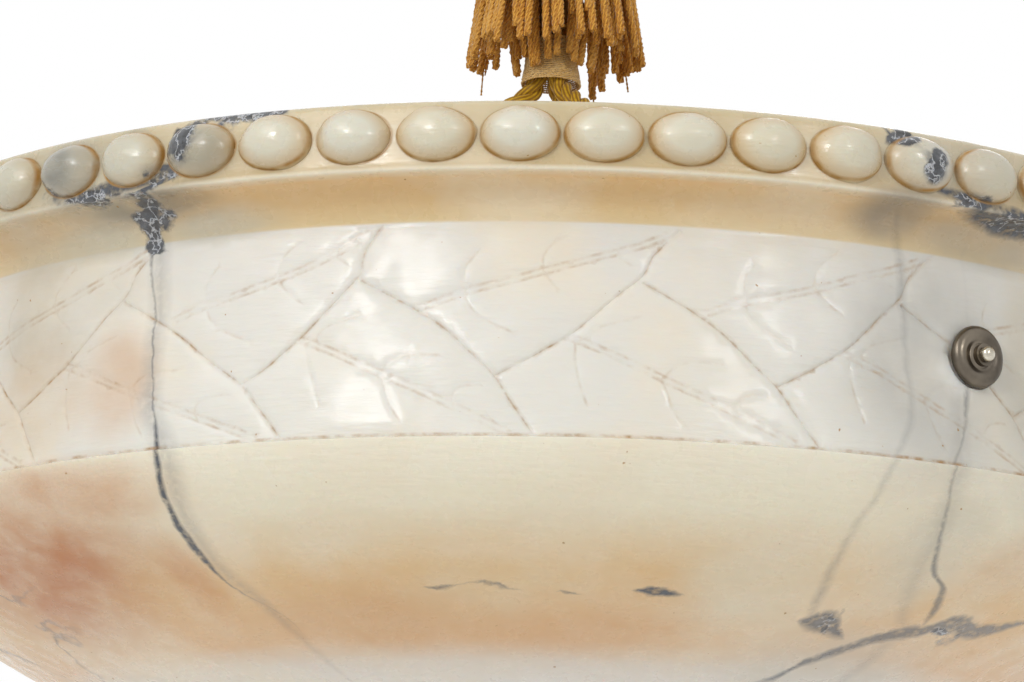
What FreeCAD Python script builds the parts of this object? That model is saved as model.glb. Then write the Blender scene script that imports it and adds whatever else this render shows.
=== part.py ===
import FreeCAD, Part
import math
import os

# Alabaster bowl pendant: a carved stone bowl hung by three silk ropes that meet in a
# tassel, on one thick rope from a brass ceiling plate with a swivelling hook.
# Millimetres. The origin is on the ceiling, on the pendant's axis. +Z is up.
# -Y is the front. Azimuths are counted from the front, positive to the right (+X).

V = FreeCAD.Vector
Z_AXIS = V(0, 0, 1)
X_AXIS = V(1, 0, 0)
Y_AXIS = V(0, 1, 0)
FULL_TURN = 360.0
QUARTER_TURN = 90.0
HEX_SIDES = 6
CUT_PAST = 1.0              # how far a cutter runs past the faces it opens

# ---- clearances -------------------------------------------------------------
SHAFT_CLEARANCE = 0.05      # radial, pins and shafts that turn
LINK_CLEARANCE = 0.3        # between rings and wires that hang in each other
SLIDE_CLEARANCE = 0.4       # tassel bore on the rope, lamp cap in its holder
FIT_CLEARANCE = 0.1         # screws and threaded tubes in their holes

# ---- drop and layout --------------------------------------------------------
RIM_Z = -388.0              # height of the bowl's rim below the ceiling
ROPE_COUNT = 3
FIRST_ROPE_AZ = 33.0
LAMP_OFFSET_AZ = FULL_TURN / ROPE_COUNT / 2
ROPE_SIDES = ("front_right", "rear_right", "left")
LAMP_SIDES = ("right", "rear_left", "front_left")

# ---- alabaster bowl (heights count down from the rim) -----------------------
RIM_R = 225.0
RIM_W = 27.0
FASCIA_SPLAY = 1.4          # the fascia's foot stands out past the rim
FASCIA_H = 19.2
RIM_EDGE = 1.2
LIP_W = 1.9
LIP_DROP = 0.4
COVE_R = 13.5
COVE_SWEEP = 75.0
BAND_SET_IN = 9.1           # the band's foot stands in from the rim
BAND_BOTTOM_DEPTH = 88.4
LEDGE_W = 1.2
LEDGE_DROP = 0.5
SHOULDER_R = 55.0
SHOULDER_START = 30.0
BOWL_DEPTH = 168.6
BOTTOM_WALL = 15.0
INNER_CORNER_R = 60.0
BEAD_COUNT = 64
BEAD_FIRST_AZ = -41.4
BEAD_HALF_W = 10.15
BEAD_HALF_H = 7.25
BEAD_PROUD = 6.5
BEAD_DEPTH = 9.7

# ---- wall fixings -----------------------------------------------------------
BOLT_DEPTH = 57.4
BOLT_R = 2.0
BOLT_HOLE_CLEARANCE = 0.3
OUTER_SEAT_CUT = 0.36
OUTER_SEAT_R = 8.6
INNER_SEAT_CUT = 0.25
INNER_SEAT_R = 10.0
FELT_T = 1.2
FELT_R = 7.4
ROSETTE_R = 8.0
ROSETTE_H = 3.0
ROSETTE_RIM_H = 0.9
ROSETTE_TOP_R = 4.6
ROSETTE_NUT_R = 3.1
ROSETTE_NUT_H = 1.5
STUD_OUT = 1.8
STUD_CHAMFER = 1.0
COLLAR_R = 6.5
COLLAR_T = 3.0
EYE_R = 6.0
EYE_WIRE_R = 2.0
EYE_REACH = 7.5

# ---- ropes and their brass ends --------------------------------------------
ROPE_R = 3.5
ROPE_BUNDLE_R = 4.15
ROPE_TOP_H = 114.0
ROPE_BEND_H = 74.0
ROPE_BEND_R = 12.0
FERRULE_R = 4.7
FERRULE_L = 20.0
FERRULE_START = 6.0
FERRULE_SOLID = 4.0
LOOP_WIRE_R = 1.5

# ---- rope cup, whipping and main rope --------------------------------------
WHIPPING_BOTTOM_H = 80.2
WHIPPING_WALL = 0.9
WHIPPING_BULGE = 0.35
CUP_BOTTOM_H = 92.0
CUP_TOP_H = 130.0
CUP_R = 10.0
CUP_WEB = 3.0
CUP_BEAD_R = 1.2
MAIN_ROPE_R = 5.5
CAP_TO_PIN = 13.0
CAP_R = 9.0
CAP_BORE_DEPTH = 20.0
CAP_CROWN_H = 5.0
CAP_RING_R = 1.3
GRUB_R = 1.5
GRUB_INSET = 5.0
LUG_W = 10.4
LUG_T = 6.6

# ---- shackle, its pin, the hook --------------------------------------------
PIN_R = 2.5
PIN_DROP = 18.0
PIN_HEAD_R = 4.2
PIN_HEAD_T = 2.4
PIN_NUT_AF = 8.0
PIN_NUT_T = 3.0
PIN_TAIL = 1.2
SHACKLE_WIRE_R = 2.5
EAR_R = 5.5
EAR_T = 5.6
HOOK_WIRE_R = 3.5
HOOK_BEND_R = 12.0
HOOK_DROP = 56.0
HOOK_NECK_R = 8.0
HOOK_TIP_SWEEP = 190.0
HOOK_TIP_R = 4.2
HOOK_SHANK_R = 4.0
HOOK_COLLAR_R = 7.5
HOOK_COLLAR_T = 2.6

# ---- ceiling plate ----------------------------------------------------------
PLATE_R = 50.0
FLANGE_T = 4.0
DOME_R = 34.0
DOME_BULGE = 3.0
BOSS_R = 13.0
BOSS_DEPTH = 24.0
BOSS_STEP = 2.0
CAVITY_R = 29.0
CAVITY_DEPTH = 11.0
SCREW_PCD = 84.0
SCREW_COUNT = 3
SCREW_HOLE_R = 2.5
SCREW_SINK_R = 4.6
SCREW_SINK_DEPTH = 2.0
BUSH_WALL = 1.6
BUSH_FLANGE_R = 9.5
BUSH_FLANGE_T = 1.5
NUT_AF = 13.0
NUT_T = 5.0
NUT_GAP = 0.3
SHANK_END_INSET = 1.0
GLAND_Y = 20.5
GLAND_R = 4.6
GLAND_BORE_R = 3.2
GLAND_FLANGE_R = 6.4
GLAND_FLANGE_T = 1.5
GLAND_PROUD = 3.0
TERMINAL_L = 20.0
TERMINAL_W = 11.0
TERMINAL_H = 9.0
TERMINAL_Y = -19.0
TERMINAL_WAY_R = 1.8
TERMINAL_WAYS = 3

# ---- tassel -----------------------------------------------------------------
TASSEL_GAP = 0.3
TASSEL_PLUG_R = 16.0
TASSEL_FLANGE_H = 150.0
TASSEL_FLANGE_R = 20.0
TASSEL_BAND_H = 8.0
TASSEL_BAND_R = 24.6
TASSEL_BAND_BEVEL = 2.0
TASSEL_WAIST_R = 16.5
TASSEL_BULGE_R = 19.0
TASSEL_BULGE_RISE = 12.0
TASSEL_NECK_R = 9.6
TASSEL_NECK_RISE = 28.0
TASSEL_RING_R = 12.6
TASSEL_RING_H = 6.0
TASSEL_RING_BEVEL = 2.0
TASSEL_CAP_H = 3.0
SKIRT_BOTTOM_H = 88.0
SKIRT_WAIST_H = 106.0
SKIRT_TOP_R = 22.0
SKIRT_WAIST_R = 26.6
SKIRT_BOTTOM_R = 29.6
SKIRT_LOBES = 30
SKIRT_LOBE_RISE = 1.3
SKIRT_INNER_GAP = 1.2

# ---- lamp frame and cluster -------------------------------------------------
STRAP_W = 14.0
STRAP_T = 2.5
TAB_ABOVE = 7.5
FRAME_DEPTH = 76.0
FRAME_DISC_R = 27.0
STRAP_BEND_R = 12.0
CLUSTER_R = 24.0
CLUSTER_H = 32.0
CLUSTER_WALL = 2.0
COVER_T = 2.5
COVER_OVERHANG = 1.2
COVER_SPIGOT = 3.5
COVER_CROWN_R = 9.0
COVER_CROWN_H = 4.0
CLUSTER_GLAND_R = 6.0
CLUSTER_GLAND_H = 10.0
CLUSTER_GLAND_BORE_R = 3.2
FRAME_SCREW_R = 1.5
FRAME_SCREW_PCD = 34.0
FRAME_SCREW_HEAD_R = 2.9
FRAME_SCREW_HEAD_H = 2.0
FRAME_SCREW_PAST = 2.0
NIPPLE_R = 5.0
NIPPLE_BORE_R = 3.6
NIPPLE_IN = 3.0
HOLDER_GAP = 4.0
HOLDER_R = 16.4
HOLDER_L = 34.0
HOLDER_WALL = 1.2
HOLDER_BACK_T = 2.4
LINER_BACK_T = 5.0
LINER_INSET = 1.0
SHADE_RING_R = 19.5
SHADE_RING_T = 4.0
SHADE_RING_AT = 15.0
CAP_GAP = 2.0
LAMP_CAP_R = 13.0
LAMP_CAP_WALL = 1.2
LAMP_CONTACT_R = 4.5
LAMP_CONTACT_H = 1.4
LAMP_CAP_PROUD = 1.0
BULB_R = 22.5
BULB_NECK_R = 12.2
BULB_NECK_L = 3.0
BULB_WALL = 1.1


# ---- helpers ----------------------------------------------------------------
def line(a, b):
    """Return a straight edge between two points."""
    return Part.LineSegment(a, b).toShape()


def arc(a, m, b):
    """Return an arc edge from a through m to b."""
    return Part.Arc(a, m, b).toShape()


def xz(x, z):
    """Return a point of the XZ plane."""
    return V(x, 0, z)


def turned(corners):
    """Return the solid turned about Z from an outline of (radius, height) corners."""
    points = [xz(r, z) for r, z in corners]
    points.append(points[0])
    return Part.Face(Part.makePolygon(points)).revolve(V(0, 0, 0), Z_AXIS, FULL_TURN)


def turned_edges(edges):
    """Return the solid turned about Z from a closed outline of edges in the XZ plane."""
    return Part.Face(Part.Wire(edges)).revolve(V(0, 0, 0), Z_AXIS, FULL_TURN)


def tube(outer_r, inner_r, low, high):
    """Return a round tube on the Z axis between two heights."""
    body = Part.makeCylinder(outer_r, high - low, V(0, 0, low))
    bore = Part.makeCylinder(inner_r, high - low + 2 * CUT_PAST, V(0, 0, low - CUT_PAST))
    return body.cut(bore)


def ring(radius, wire_r, centre, normal):
    """Return a torus."""
    return Part.makeTorus(radius, wire_r, centre, normal)


def hexagon(across_flats, low, high, bore_r):
    """Return a hexagon nut on the Z axis."""
    corner_r = across_flats / 2 / math.cos(math.pi / HEX_SIDES)
    corners = []
    for k in range(HEX_SIDES + 1):
        angle = math.radians(FULL_TURN / HEX_SIDES * k)
        corners.append(V(corner_r * math.cos(angle), corner_r * math.sin(angle), low))
    nut = Part.Face(Part.makePolygon(corners)).extrude(V(0, 0, high - low))
    return nut.cut(Part.makeCylinder(bore_r, high - low + 2 * CUT_PAST, V(0, 0, low - CUT_PAST)))


def pipe(path_edges, radius):
    """Return a round bar along a path of tangent straight and arc edges, in order."""
    pieces = []
    for edge in path_edges:
        start = edge.valueAt(edge.FirstParameter)
        tangent = edge.tangentAt(edge.FirstParameter)
        section = Part.Face(Part.Wire(Part.makeCircle(radius, start, tangent)))
        if isinstance(edge.Curve, Part.Circle):
            sweep = math.degrees(edge.LastParameter - edge.FirstParameter)
            pieces.append(section.revolve(edge.Curve.Center, edge.Curve.Axis, sweep))
        else:
            pieces.append(section.extrude(tangent * edge.Length))
    return pieces[0].multiFuse(pieces[1:]).removeSplitter()


def at_azimuth(shape, azimuth):
    """Return a copy of a piece made at the front, turned to an azimuth."""
    copy = shape.copy()
    copy.rotate(V(0, 0, 0), Z_AXIS, azimuth)
    return copy


def laid_radial(shape, height):
    """Return a copy of a piece made up the Z axis, laid along the front radius."""
    copy = shape.copy()
    copy.rotate(V(0, 0, 0), X_AXIS, QUARTER_TURN)
    copy.translate(V(0, 0, height))
    return copy


def front(rho, z):
    """Return the point of the front radial plane at a radius and height."""
    return V(0, -rho, z)


def group(shapes):
    """Return separate solids as one group."""
    return Part.makeCompound(shapes)


# ---- derived places ---------------------------------------------------------
ROPE_AZIMUTHS = [FIRST_ROPE_AZ + FULL_TURN / ROPE_COUNT * k for k in range(ROPE_COUNT)]
LAMP_AZIMUTHS = [azimuth + LAMP_OFFSET_AZ for azimuth in ROPE_AZIMUTHS]
BOLT_Z = RIM_Z - BOLT_DEPTH
RIM_INNER_R = RIM_R - RIM_W
FASCIA_BOTTOM_R = RIM_R + FASCIA_SPLAY
BAND_BOTTOM_R = RIM_R - BAND_SET_IN
COVE_START_R = FASCIA_BOTTOM_R - LIP_W
COVE_CENTRE_Z = RIM_Z - FASCIA_H - LIP_DROP - COVE_R
COVE_END = math.radians(QUARTER_TURN + COVE_SWEEP)
BAND_TOP_R = COVE_START_R + COVE_R * math.cos(COVE_END)
BAND_TOP_Z = COVE_CENTRE_Z + COVE_R * math.sin(COVE_END)
BAND_BOTTOM_Z = RIM_Z - BAND_BOTTOM_DEPTH
BOLT_SHARE = (BAND_TOP_Z - BOLT_Z) / (BAND_TOP_Z - BAND_BOTTOM_Z)
OUTER_SEAT_RHO = BAND_TOP_R + (BAND_BOTTOM_R - BAND_TOP_R) * BOLT_SHARE - OUTER_SEAT_CUT
INNER_SEAT_RHO = RIM_INNER_R + INNER_SEAT_CUT
TAB_FACE_RHO = INNER_SEAT_RHO - FELT_T
COLLAR_FACE_RHO = TAB_FACE_RHO - STRAP_T
EYE_RHO = COLLAR_FACE_RHO - COLLAR_T - EYE_REACH
BODY_R = BAND_BOTTOM_R + LEDGE_W
BODY_Z = BAND_BOTTOM_Z - LEDGE_DROP
BOTTOM_Z = RIM_Z - BOWL_DEPTH

BEND = front(ROPE_BUNDLE_R, RIM_Z + ROPE_BEND_H)
EYE_CENTRE = front(EYE_RHO, BOLT_Z)
ROPE_UP = (BEND - EYE_CENTRE).normalize()
HOLD_POINT = EYE_CENTRE + ROPE_UP * EYE_R
ROPE_END = HOLD_POINT + ROPE_UP * (FERRULE_START + FERRULE_SOLID)

HOOK_CENTRE_Z = -HOOK_DROP + HOOK_BEND_R
SHACKLE_R = HOOK_WIRE_R + LINK_CLEARANCE + SHACKLE_WIRE_R
PIN_Z = -HOOK_DROP - PIN_DROP
CAP_TOP_Z = PIN_Z - CAP_TO_PIN
CAP_BORE_Z = CAP_TOP_Z - CAP_CROWN_H
CAP_LOW_Z = CAP_BORE_Z - CAP_BORE_DEPTH
CUP_WEB_TOP_H = ROPE_TOP_H + CUP_WEB

FRAME_Z = RIM_Z - FRAME_DEPTH
CLUSTER_LOW = FRAME_Z + STRAP_T
CLUSTER_TOP = CLUSTER_LOW + CLUSTER_H
HOLDER_BACK = CLUSTER_R + HOLDER_GAP
HOLDER_MOUTH = HOLDER_BACK + HOLDER_L
LINER_R = HOLDER_R - HOLDER_WALL - FIT_CLEARANCE
LINER_BACK = HOLDER_BACK + HOLDER_BACK_T
LAMP_CAP_BACK = LINER_BACK + LINER_BACK_T + CAP_GAP
LAMP_CAP_MOUTH = HOLDER_MOUTH + LAMP_CAP_PROUD


# ---- ceiling plate and hook -------------------------------------------------
def ceiling_plate():
    """Turned brass plate: screw flange, dome with a wiring cavity, boss for the hook."""
    outer_top = xz(DOME_R, -FLANGE_T)
    outer_low = xz(BOSS_R, -BOSS_DEPTH + BOSS_STEP)
    middle = xz((DOME_R + BOSS_R) / 2 + DOME_BULGE, -(FLANGE_T + BOSS_DEPTH - BOSS_STEP) / 2 - DOME_BULGE)
    edges = [
        line(xz(0, -CAVITY_DEPTH), xz(CAVITY_R, -CAVITY_DEPTH)),
        line(xz(CAVITY_R, -CAVITY_DEPTH), xz(CAVITY_R, 0)),
        line(xz(CAVITY_R, 0), xz(PLATE_R, 0)),
        line(xz(PLATE_R, 0), xz(PLATE_R, -FLANGE_T / 2)),
        line(xz(PLATE_R, -FLANGE_T / 2), xz(PLATE_R - FLANGE_T / 2, -FLANGE_T)),
        line(xz(PLATE_R - FLANGE_T / 2, -FLANGE_T), outer_top),
        arc(outer_top, middle, outer_low),
        line(outer_low, xz(BOSS_R, -BOSS_DEPTH)),
        line(xz(BOSS_R, -BOSS_DEPTH), xz(0, -BOSS_DEPTH)),
        line(xz(0, -BOSS_DEPTH), xz(0, -CAVITY_DEPTH)),
    ]
    plate = turned_edges(edges)
    plate = plate.cut(Part.makeCylinder(HOOK_SHANK_R + SHAFT_CLEARANCE + BUSH_WALL, BOSS_DEPTH,
                                        V(0, 0, -BOSS_DEPTH)))
    plate = plate.cut(Part.makeCylinder(GLAND_R, BOSS_DEPTH, V(0, GLAND_Y, -BOSS_DEPTH)))
    for k in range(SCREW_COUNT):
        hole = Part.makeCylinder(SCREW_HOLE_R, FLANGE_T + 2 * CUT_PAST,
                                 V(0, -SCREW_PCD / 2, -FLANGE_T - CUT_PAST))
        sink = Part.makeCone(SCREW_SINK_R, SCREW_HOLE_R, SCREW_SINK_DEPTH, V(0, -SCREW_PCD / 2, -FLANGE_T))
        plate = plate.cut(at_azimuth(hole.fuse(sink), FULL_TURN / SCREW_COUNT * k))
    return plate


def hook_bush():
    """Flanged bronze bush that the hook's shank turns in."""
    bore = HOOK_SHANK_R + SHAFT_CLEARANCE
    return turned([(bore, -BOSS_DEPTH), (bore + BUSH_WALL, -BOSS_DEPTH), (bore + BUSH_WALL, -CAVITY_DEPTH),
                   (BUSH_FLANGE_R, -CAVITY_DEPTH), (BUSH_FLANGE_R, -CAVITY_DEPTH + BUSH_FLANGE_T),
                   (bore, -CAVITY_DEPTH + BUSH_FLANGE_T)])


def flex_bush():
    """Soft bush in the plate that the supply flex comes out of."""
    low = -BOSS_DEPTH + GLAND_PROUD
    body = tube(GLAND_R, GLAND_BORE_R, low, -CAVITY_DEPTH)
    flange = tube(GLAND_FLANGE_R, GLAND_BORE_R, -CAVITY_DEPTH, -CAVITY_DEPTH + GLAND_FLANGE_T)
    bush = body.fuse(flange).removeSplitter()
    bush.translate(V(0, GLAND_Y, 0))
    return bush


def terminal_block():
    """Three-way terminal block on the floor of the cavity."""
    block = Part.makeBox(TERMINAL_L, TERMINAL_W, TERMINAL_H,
                         V(-TERMINAL_L / 2, TERMINAL_Y - TERMINAL_W / 2, -CAVITY_DEPTH))
    pitch = TERMINAL_L / TERMINAL_WAYS
    for k in range(TERMINAL_WAYS):
        x = -TERMINAL_L / 2 + pitch * (k + 0.5)
        start = V(x, TERMINAL_Y - TERMINAL_W / 2 - CUT_PAST, -CAVITY_DEPTH + TERMINAL_H / 2)
        way = Part.makeCylinder(TERMINAL_WAY_R, TERMINAL_W + 2 * CUT_PAST, start, Y_AXIS)
        block = block.cut(way)
    return block


def swivel_hook():
    """Hook bent from round bar, its mouth to -X and its load on the axis."""
    turn = math.acos(1 - HOOK_BEND_R / (2 * HOOK_NECK_R))
    neck_drop = 2 * HOOK_NECK_R * math.sin(turn)
    neck_top = HOOK_CENTRE_Z + neck_drop
    half = turn / 2
    mid = xz(HOOK_BEND_R / 2, HOOK_CENTRE_Z + neck_drop / 2)
    upper = xz(HOOK_NECK_R * (1 - math.cos(half)), neck_top - HOOK_NECK_R * math.sin(half))
    lower = xz(HOOK_BEND_R - HOOK_NECK_R * (1 - math.cos(half)), HOOK_CENTRE_Z + HOOK_NECK_R * math.sin(half))
    tip_angle = math.radians(-HOOK_TIP_SWEEP)
    half_angle = tip_angle / 2
    tip = xz(HOOK_BEND_R * math.cos(tip_angle), HOOK_CENTRE_Z + HOOK_BEND_R * math.sin(tip_angle))
    bowl_mid = xz(HOOK_BEND_R * math.cos(half_angle), HOOK_CENTRE_Z + HOOK_BEND_R * math.sin(half_angle))
    start = xz(0, neck_top)
    side = xz(HOOK_BEND_R, HOOK_CENTRE_Z)
    neck = pipe([arc(start, upper, mid), arc(mid, lower, side), arc(side, bowl_mid, tip)], HOOK_WIRE_R)
    collar_low = -BOSS_DEPTH - LINK_CLEARANCE - HOOK_COLLAR_T
    stem = Part.makeCylinder(HOOK_WIRE_R, collar_low - neck_top, V(0, 0, neck_top))
    collar = Part.makeCylinder(HOOK_COLLAR_R, HOOK_COLLAR_T, V(0, 0, collar_low))
    shank = Part.makeCylinder(HOOK_SHANK_R, -SHANK_END_INSET - collar_low - HOOK_COLLAR_T,
                              V(0, 0, collar_low + HOOK_COLLAR_T))
    ball = Part.makeSphere(HOOK_TIP_R, tip)
    return neck.multiFuse([stem, collar, shank, ball]).removeSplitter()


def hook_nut():
    """Hexagon nut on the top of the hook's shank, in the cavity."""
    low = -CAVITY_DEPTH + BUSH_FLANGE_T + NUT_GAP
    return hexagon(NUT_AF, low, low + NUT_T, HOOK_SHANK_R)


# ---- shackle and rope cap ---------------------------------------------------
def shackle():
    """Bow that hangs in the hook, with an ear each side of the rope cap's lug."""
    z = -HOOK_DROP
    foot_a = V(0, -SHACKLE_R, PIN_Z)
    foot_b = V(0, SHACKLE_R, PIN_Z)
    top_a = V(0, -SHACKLE_R, z)
    top_b = V(0, SHACKLE_R, z)
    bow = pipe([line(foot_a, top_a), arc(top_a, V(0, 0, z + SHACKLE_R), top_b), line(top_b, foot_b)],
               SHACKLE_WIRE_R)
    inner = LUG_T / 2 + LINK_CLEARANCE
    ear_a = Part.makeCylinder(EAR_R, EAR_T, V(0, inner, PIN_Z), Y_AXIS)
    ear_b = Part.makeCylinder(EAR_R, EAR_T, V(0, -inner - EAR_T, PIN_Z), Y_AXIS)
    bow = bow.multiFuse([ear_a, ear_b])
    half_gap = EAR_R + CUT_PAST
    gap = Part.makeBox(2 * half_gap, 2 * inner, 2 * half_gap, V(-half_gap, -inner, PIN_Z - half_gap))
    half_bore = pin_span() + CUT_PAST
    bore = Part.makeCylinder(PIN_R + SHAFT_CLEARANCE, 2 * half_bore, V(0, -half_bore, PIN_Z), Y_AXIS)
    return bow.cut(gap).cut(bore)


def pin_span():
    """Return how far the ears reach from the middle."""
    return LUG_T / 2 + LINK_CLEARANCE + EAR_T


def shackle_pin():
    """Headed pin through the shackle's ears and the rope cap's lug."""
    reach = pin_span()
    length = 2 * reach + PIN_NUT_T + PIN_TAIL
    shank = Part.makeCylinder(PIN_R, length, V(0, -reach, PIN_Z), Y_AXIS)
    head = Part.makeCylinder(PIN_HEAD_R, PIN_HEAD_T, V(0, -reach - PIN_HEAD_T, PIN_Z), Y_AXIS)
    return shank.fuse(head)


def shackle_nut():
    """Nut on the pin's end."""
    nut = hexagon(PIN_NUT_AF, 0, PIN_NUT_T, PIN_R)
    nut.rotate(V(0, 0, 0), X_AXIS, -QUARTER_TURN)
    nut.translate(V(0, pin_span(), PIN_Z))
    return nut


def grub_screws(surface_r, rope_r, z):
    """Two short screws through a brass socket's wall, on the rope."""
    length = surface_r - rope_r - SHAFT_CLEARANCE
    screw = Part.makeCylinder(GRUB_R, length, V(0, -surface_r, z), Y_AXIS)
    return group([at_azimuth(screw, QUARTER_TURN), at_azimuth(screw, -QUARTER_TURN)])


def rope_cap():
    """Brass socket on the main rope's top end, with the lug that the pin goes through."""
    body = Part.makeCylinder(CAP_R, CAP_BORE_DEPTH, V(0, 0, CAP_LOW_Z))
    crown = Part.makeCone(CAP_R, LUG_T / 2, CAP_CROWN_H, V(0, 0, CAP_BORE_Z))
    lip = ring(CAP_R, CAP_RING_R, V(0, 0, CAP_LOW_Z + 2 * CAP_RING_R), Z_AXIS)
    band = ring(CAP_R, CAP_RING_R, V(0, 0, CAP_BORE_Z - 2 * CAP_RING_R), Z_AXIS)
    plate = Part.makeBox(LUG_W, LUG_T, CAP_CROWN_H + CAP_TO_PIN, V(-LUG_W / 2, -LUG_T / 2, CAP_BORE_Z))
    eye = Part.makeCylinder(LUG_W / 2, LUG_T, V(0, -LUG_T / 2, PIN_Z), Y_AXIS)
    cap = body.multiFuse([crown, lip, band, plate, eye])
    cap = cap.cut(Part.makeCylinder(MAIN_ROPE_R + SHAFT_CLEARANCE, CAP_BORE_DEPTH, V(0, 0, CAP_LOW_Z)))
    cap = cap.cut(Part.makeCylinder(PIN_R + SHAFT_CLEARANCE, 2 * LUG_T, V(0, -LUG_T, PIN_Z), Y_AXIS))
    for side in (QUARTER_TURN, -QUARTER_TURN):
        hole = Part.makeCylinder(GRUB_R, CAP_R, V(0, -CAP_R - CAP_RING_R, cap_screw_z()), Y_AXIS)
        cap = cap.cut(at_azimuth(hole, side))
    return cap.removeSplitter()


def cap_screw_z():
    """Return the height of the cap's grub screws."""
    return CAP_LOW_Z + CAP_BORE_DEPTH / 2


def cup_screw_z():
    """Return the height of the cup's grub screws."""
    return RIM_Z + CUP_TOP_H - GRUB_INSET


# ---- rope cup, whipping, main rope -----------------------------------------
def main_rope():
    """The thick rope's envelope, from the cup to the cap."""
    low = RIM_Z + CUP_WEB_TOP_H
    return Part.makeCylinder(MAIN_ROPE_R, CAP_BORE_Z - low, V(0, 0, low))


def rope_cup():
    """Turned brass cup: the main rope is held from above, the three ropes from below."""
    low = RIM_Z + CUP_BOTTOM_H
    body = Part.makeCylinder(CUP_R, CUP_TOP_H - CUP_BOTTOM_H, V(0, 0, low))
    bundle_bore = bundle_r() + FIT_CLEARANCE
    body = body.cut(Part.makeCylinder(bundle_bore, ROPE_TOP_H - CUP_BOTTOM_H, V(0, 0, low)))
    body = body.cut(Part.makeCylinder(MAIN_ROPE_R + SHAFT_CLEARANCE, CUP_TOP_H - CUP_WEB_TOP_H,
                                      V(0, 0, RIM_Z + CUP_WEB_TOP_H)))
    for side in (QUARTER_TURN, -QUARTER_TURN):
        hole = Part.makeCylinder(GRUB_R, CUP_R - MAIN_ROPE_R / 2, V(0, -CUP_R, cup_screw_z()), Y_AXIS)
        body = body.cut(at_azimuth(hole, side))
    groove = ring(CUP_R, CUP_BEAD_R, V(0, 0, low + 2 * CUP_BEAD_R), Z_AXIS)
    return body.cut(groove)


def bundle_r():
    """Return the radius round the three ropes where they run together."""
    return ROPE_BUNDLE_R + ROPE_R + FIT_CLEARANCE


def whipping():
    """Wound silk binding round the three ropes, slightly barrelled."""
    low = RIM_Z + WHIPPING_BOTTOM_H
    high = RIM_Z + CUP_BOTTOM_H
    return rounded_collar(bundle_r(), bundle_r() + WHIPPING_WALL + WHIPPING_BULGE, WHIPPING_BULGE, low, high)


# ---- the three ropes --------------------------------------------------------
def bowl_rope():
    """One rope at the front: down through the cup and whipping, then taut to its ferrule."""
    top = front(ROPE_BUNDLE_R, RIM_Z + ROPE_TOP_H)
    down = V(0, 0, -1)
    out = (ROPE_END - BEND).normalize()
    turn = down.getAngle(out)
    tangent = ROPE_BEND_R * math.tan(turn / 2)
    bend_in = BEND - down * tangent
    bend_out = BEND + out * tangent
    inward = (out - down).normalize()
    middle = BEND + inward * (ROPE_BEND_R / math.cos(turn / 2) - ROPE_BEND_R)
    solid = pipe([line(top, bend_in), arc(bend_in, middle, bend_out), line(bend_out, ROPE_END)], ROPE_R)
    length = (bend_in - top).Length + ROPE_BEND_R * turn + (ROPE_END - bend_out).Length
    print("rope length %.1f, bend radius %.1f, volume over section times length %.4f"
          % (length, ROPE_BEND_R, solid.Volume / (math.pi * ROPE_R ** 2 * length)))
    return solid


def rope_ferrule():
    """Brass socket on a rope's lower end, with the loop that holds the wall eye."""
    face = HOLD_POINT + ROPE_UP * FERRULE_START
    body = Part.makeCylinder(FERRULE_R, FERRULE_L, face, ROPE_UP)
    bore = Part.makeCylinder(ROPE_R + SHAFT_CLEARANCE, FERRULE_L, face + ROPE_UP * FERRULE_SOLID, ROPE_UP)
    loop_r = EYE_WIRE_R + LINK_CLEARANCE + LOOP_WIRE_R
    side = X_AXIS * loop_r
    foot = ROPE_UP * (FERRULE_START + LOOP_WIRE_R)
    bow = pipe([line(HOLD_POINT + side + foot, HOLD_POINT + side),
                arc(HOLD_POINT + side, HOLD_POINT - ROPE_UP * loop_r, HOLD_POINT - side),
                line(HOLD_POINT - side, HOLD_POINT - side + foot)], LOOP_WIRE_R)
    return body.cut(bore).fuse(bow)


# ---- wall fixings -----------------------------------------------------------
def eye_bolt():
    """Stud through the wall with a collar and an eye inside, at the front."""
    start = COLLAR_FACE_RHO
    end = OUTER_SEAT_RHO + FELT_T + ROSETTE_H + ROSETTE_NUT_H + STUD_OUT
    stud = Part.makeCylinder(BOLT_R, end - STUD_CHAMFER - start, V(0, 0, start))
    tip = Part.makeCone(BOLT_R, BOLT_R - STUD_CHAMFER, STUD_CHAMFER, V(0, 0, end - STUD_CHAMFER))
    collar = Part.makeCylinder(COLLAR_R, COLLAR_T, V(0, 0, start - COLLAR_T))
    eye = ring(EYE_R, EYE_WIRE_R, V(0, 0, EYE_RHO), X_AXIS)
    bolt = stud.multiFuse([tip, collar, eye])
    return laid_radial(bolt, BOLT_Z)


def radial_washer(outer_r, inner_r, rho_a, rho_b):
    """Flat washer on the front bolt between two distances from the axis."""
    return laid_radial(tube(outer_r, inner_r, rho_a, rho_b), BOLT_Z)


def rosette():
    """Domed brass washer outside the band."""
    base = OUTER_SEAT_RHO + FELT_T
    top = base + ROSETTE_H
    rim = xz(ROSETTE_R, base + ROSETTE_RIM_H)
    crown = xz(ROSETTE_TOP_R, top)
    middle = xz((ROSETTE_R + ROSETTE_TOP_R) / 2 + ROSETTE_RIM_H / 2, (base + ROSETTE_RIM_H + top) / 2
                + ROSETTE_RIM_H / 2)
    bore = BOLT_R + FIT_CLEARANCE
    edges = [
        line(xz(bore, base), xz(ROSETTE_R, base)),
        line(xz(ROSETTE_R, base), rim),
        arc(rim, middle, crown),
        line(crown, xz(bore, top)),
        line(xz(bore, top), xz(bore, base)),
    ]
    return laid_radial(turned_edges(edges), BOLT_Z)


def rosette_nut():
    """Small round nut on the dome."""
    base = OUTER_SEAT_RHO + FELT_T + ROSETTE_H
    return laid_radial(tube(ROSETTE_NUT_R, BOLT_R, base, base + ROSETTE_NUT_H), BOLT_Z)


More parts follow.
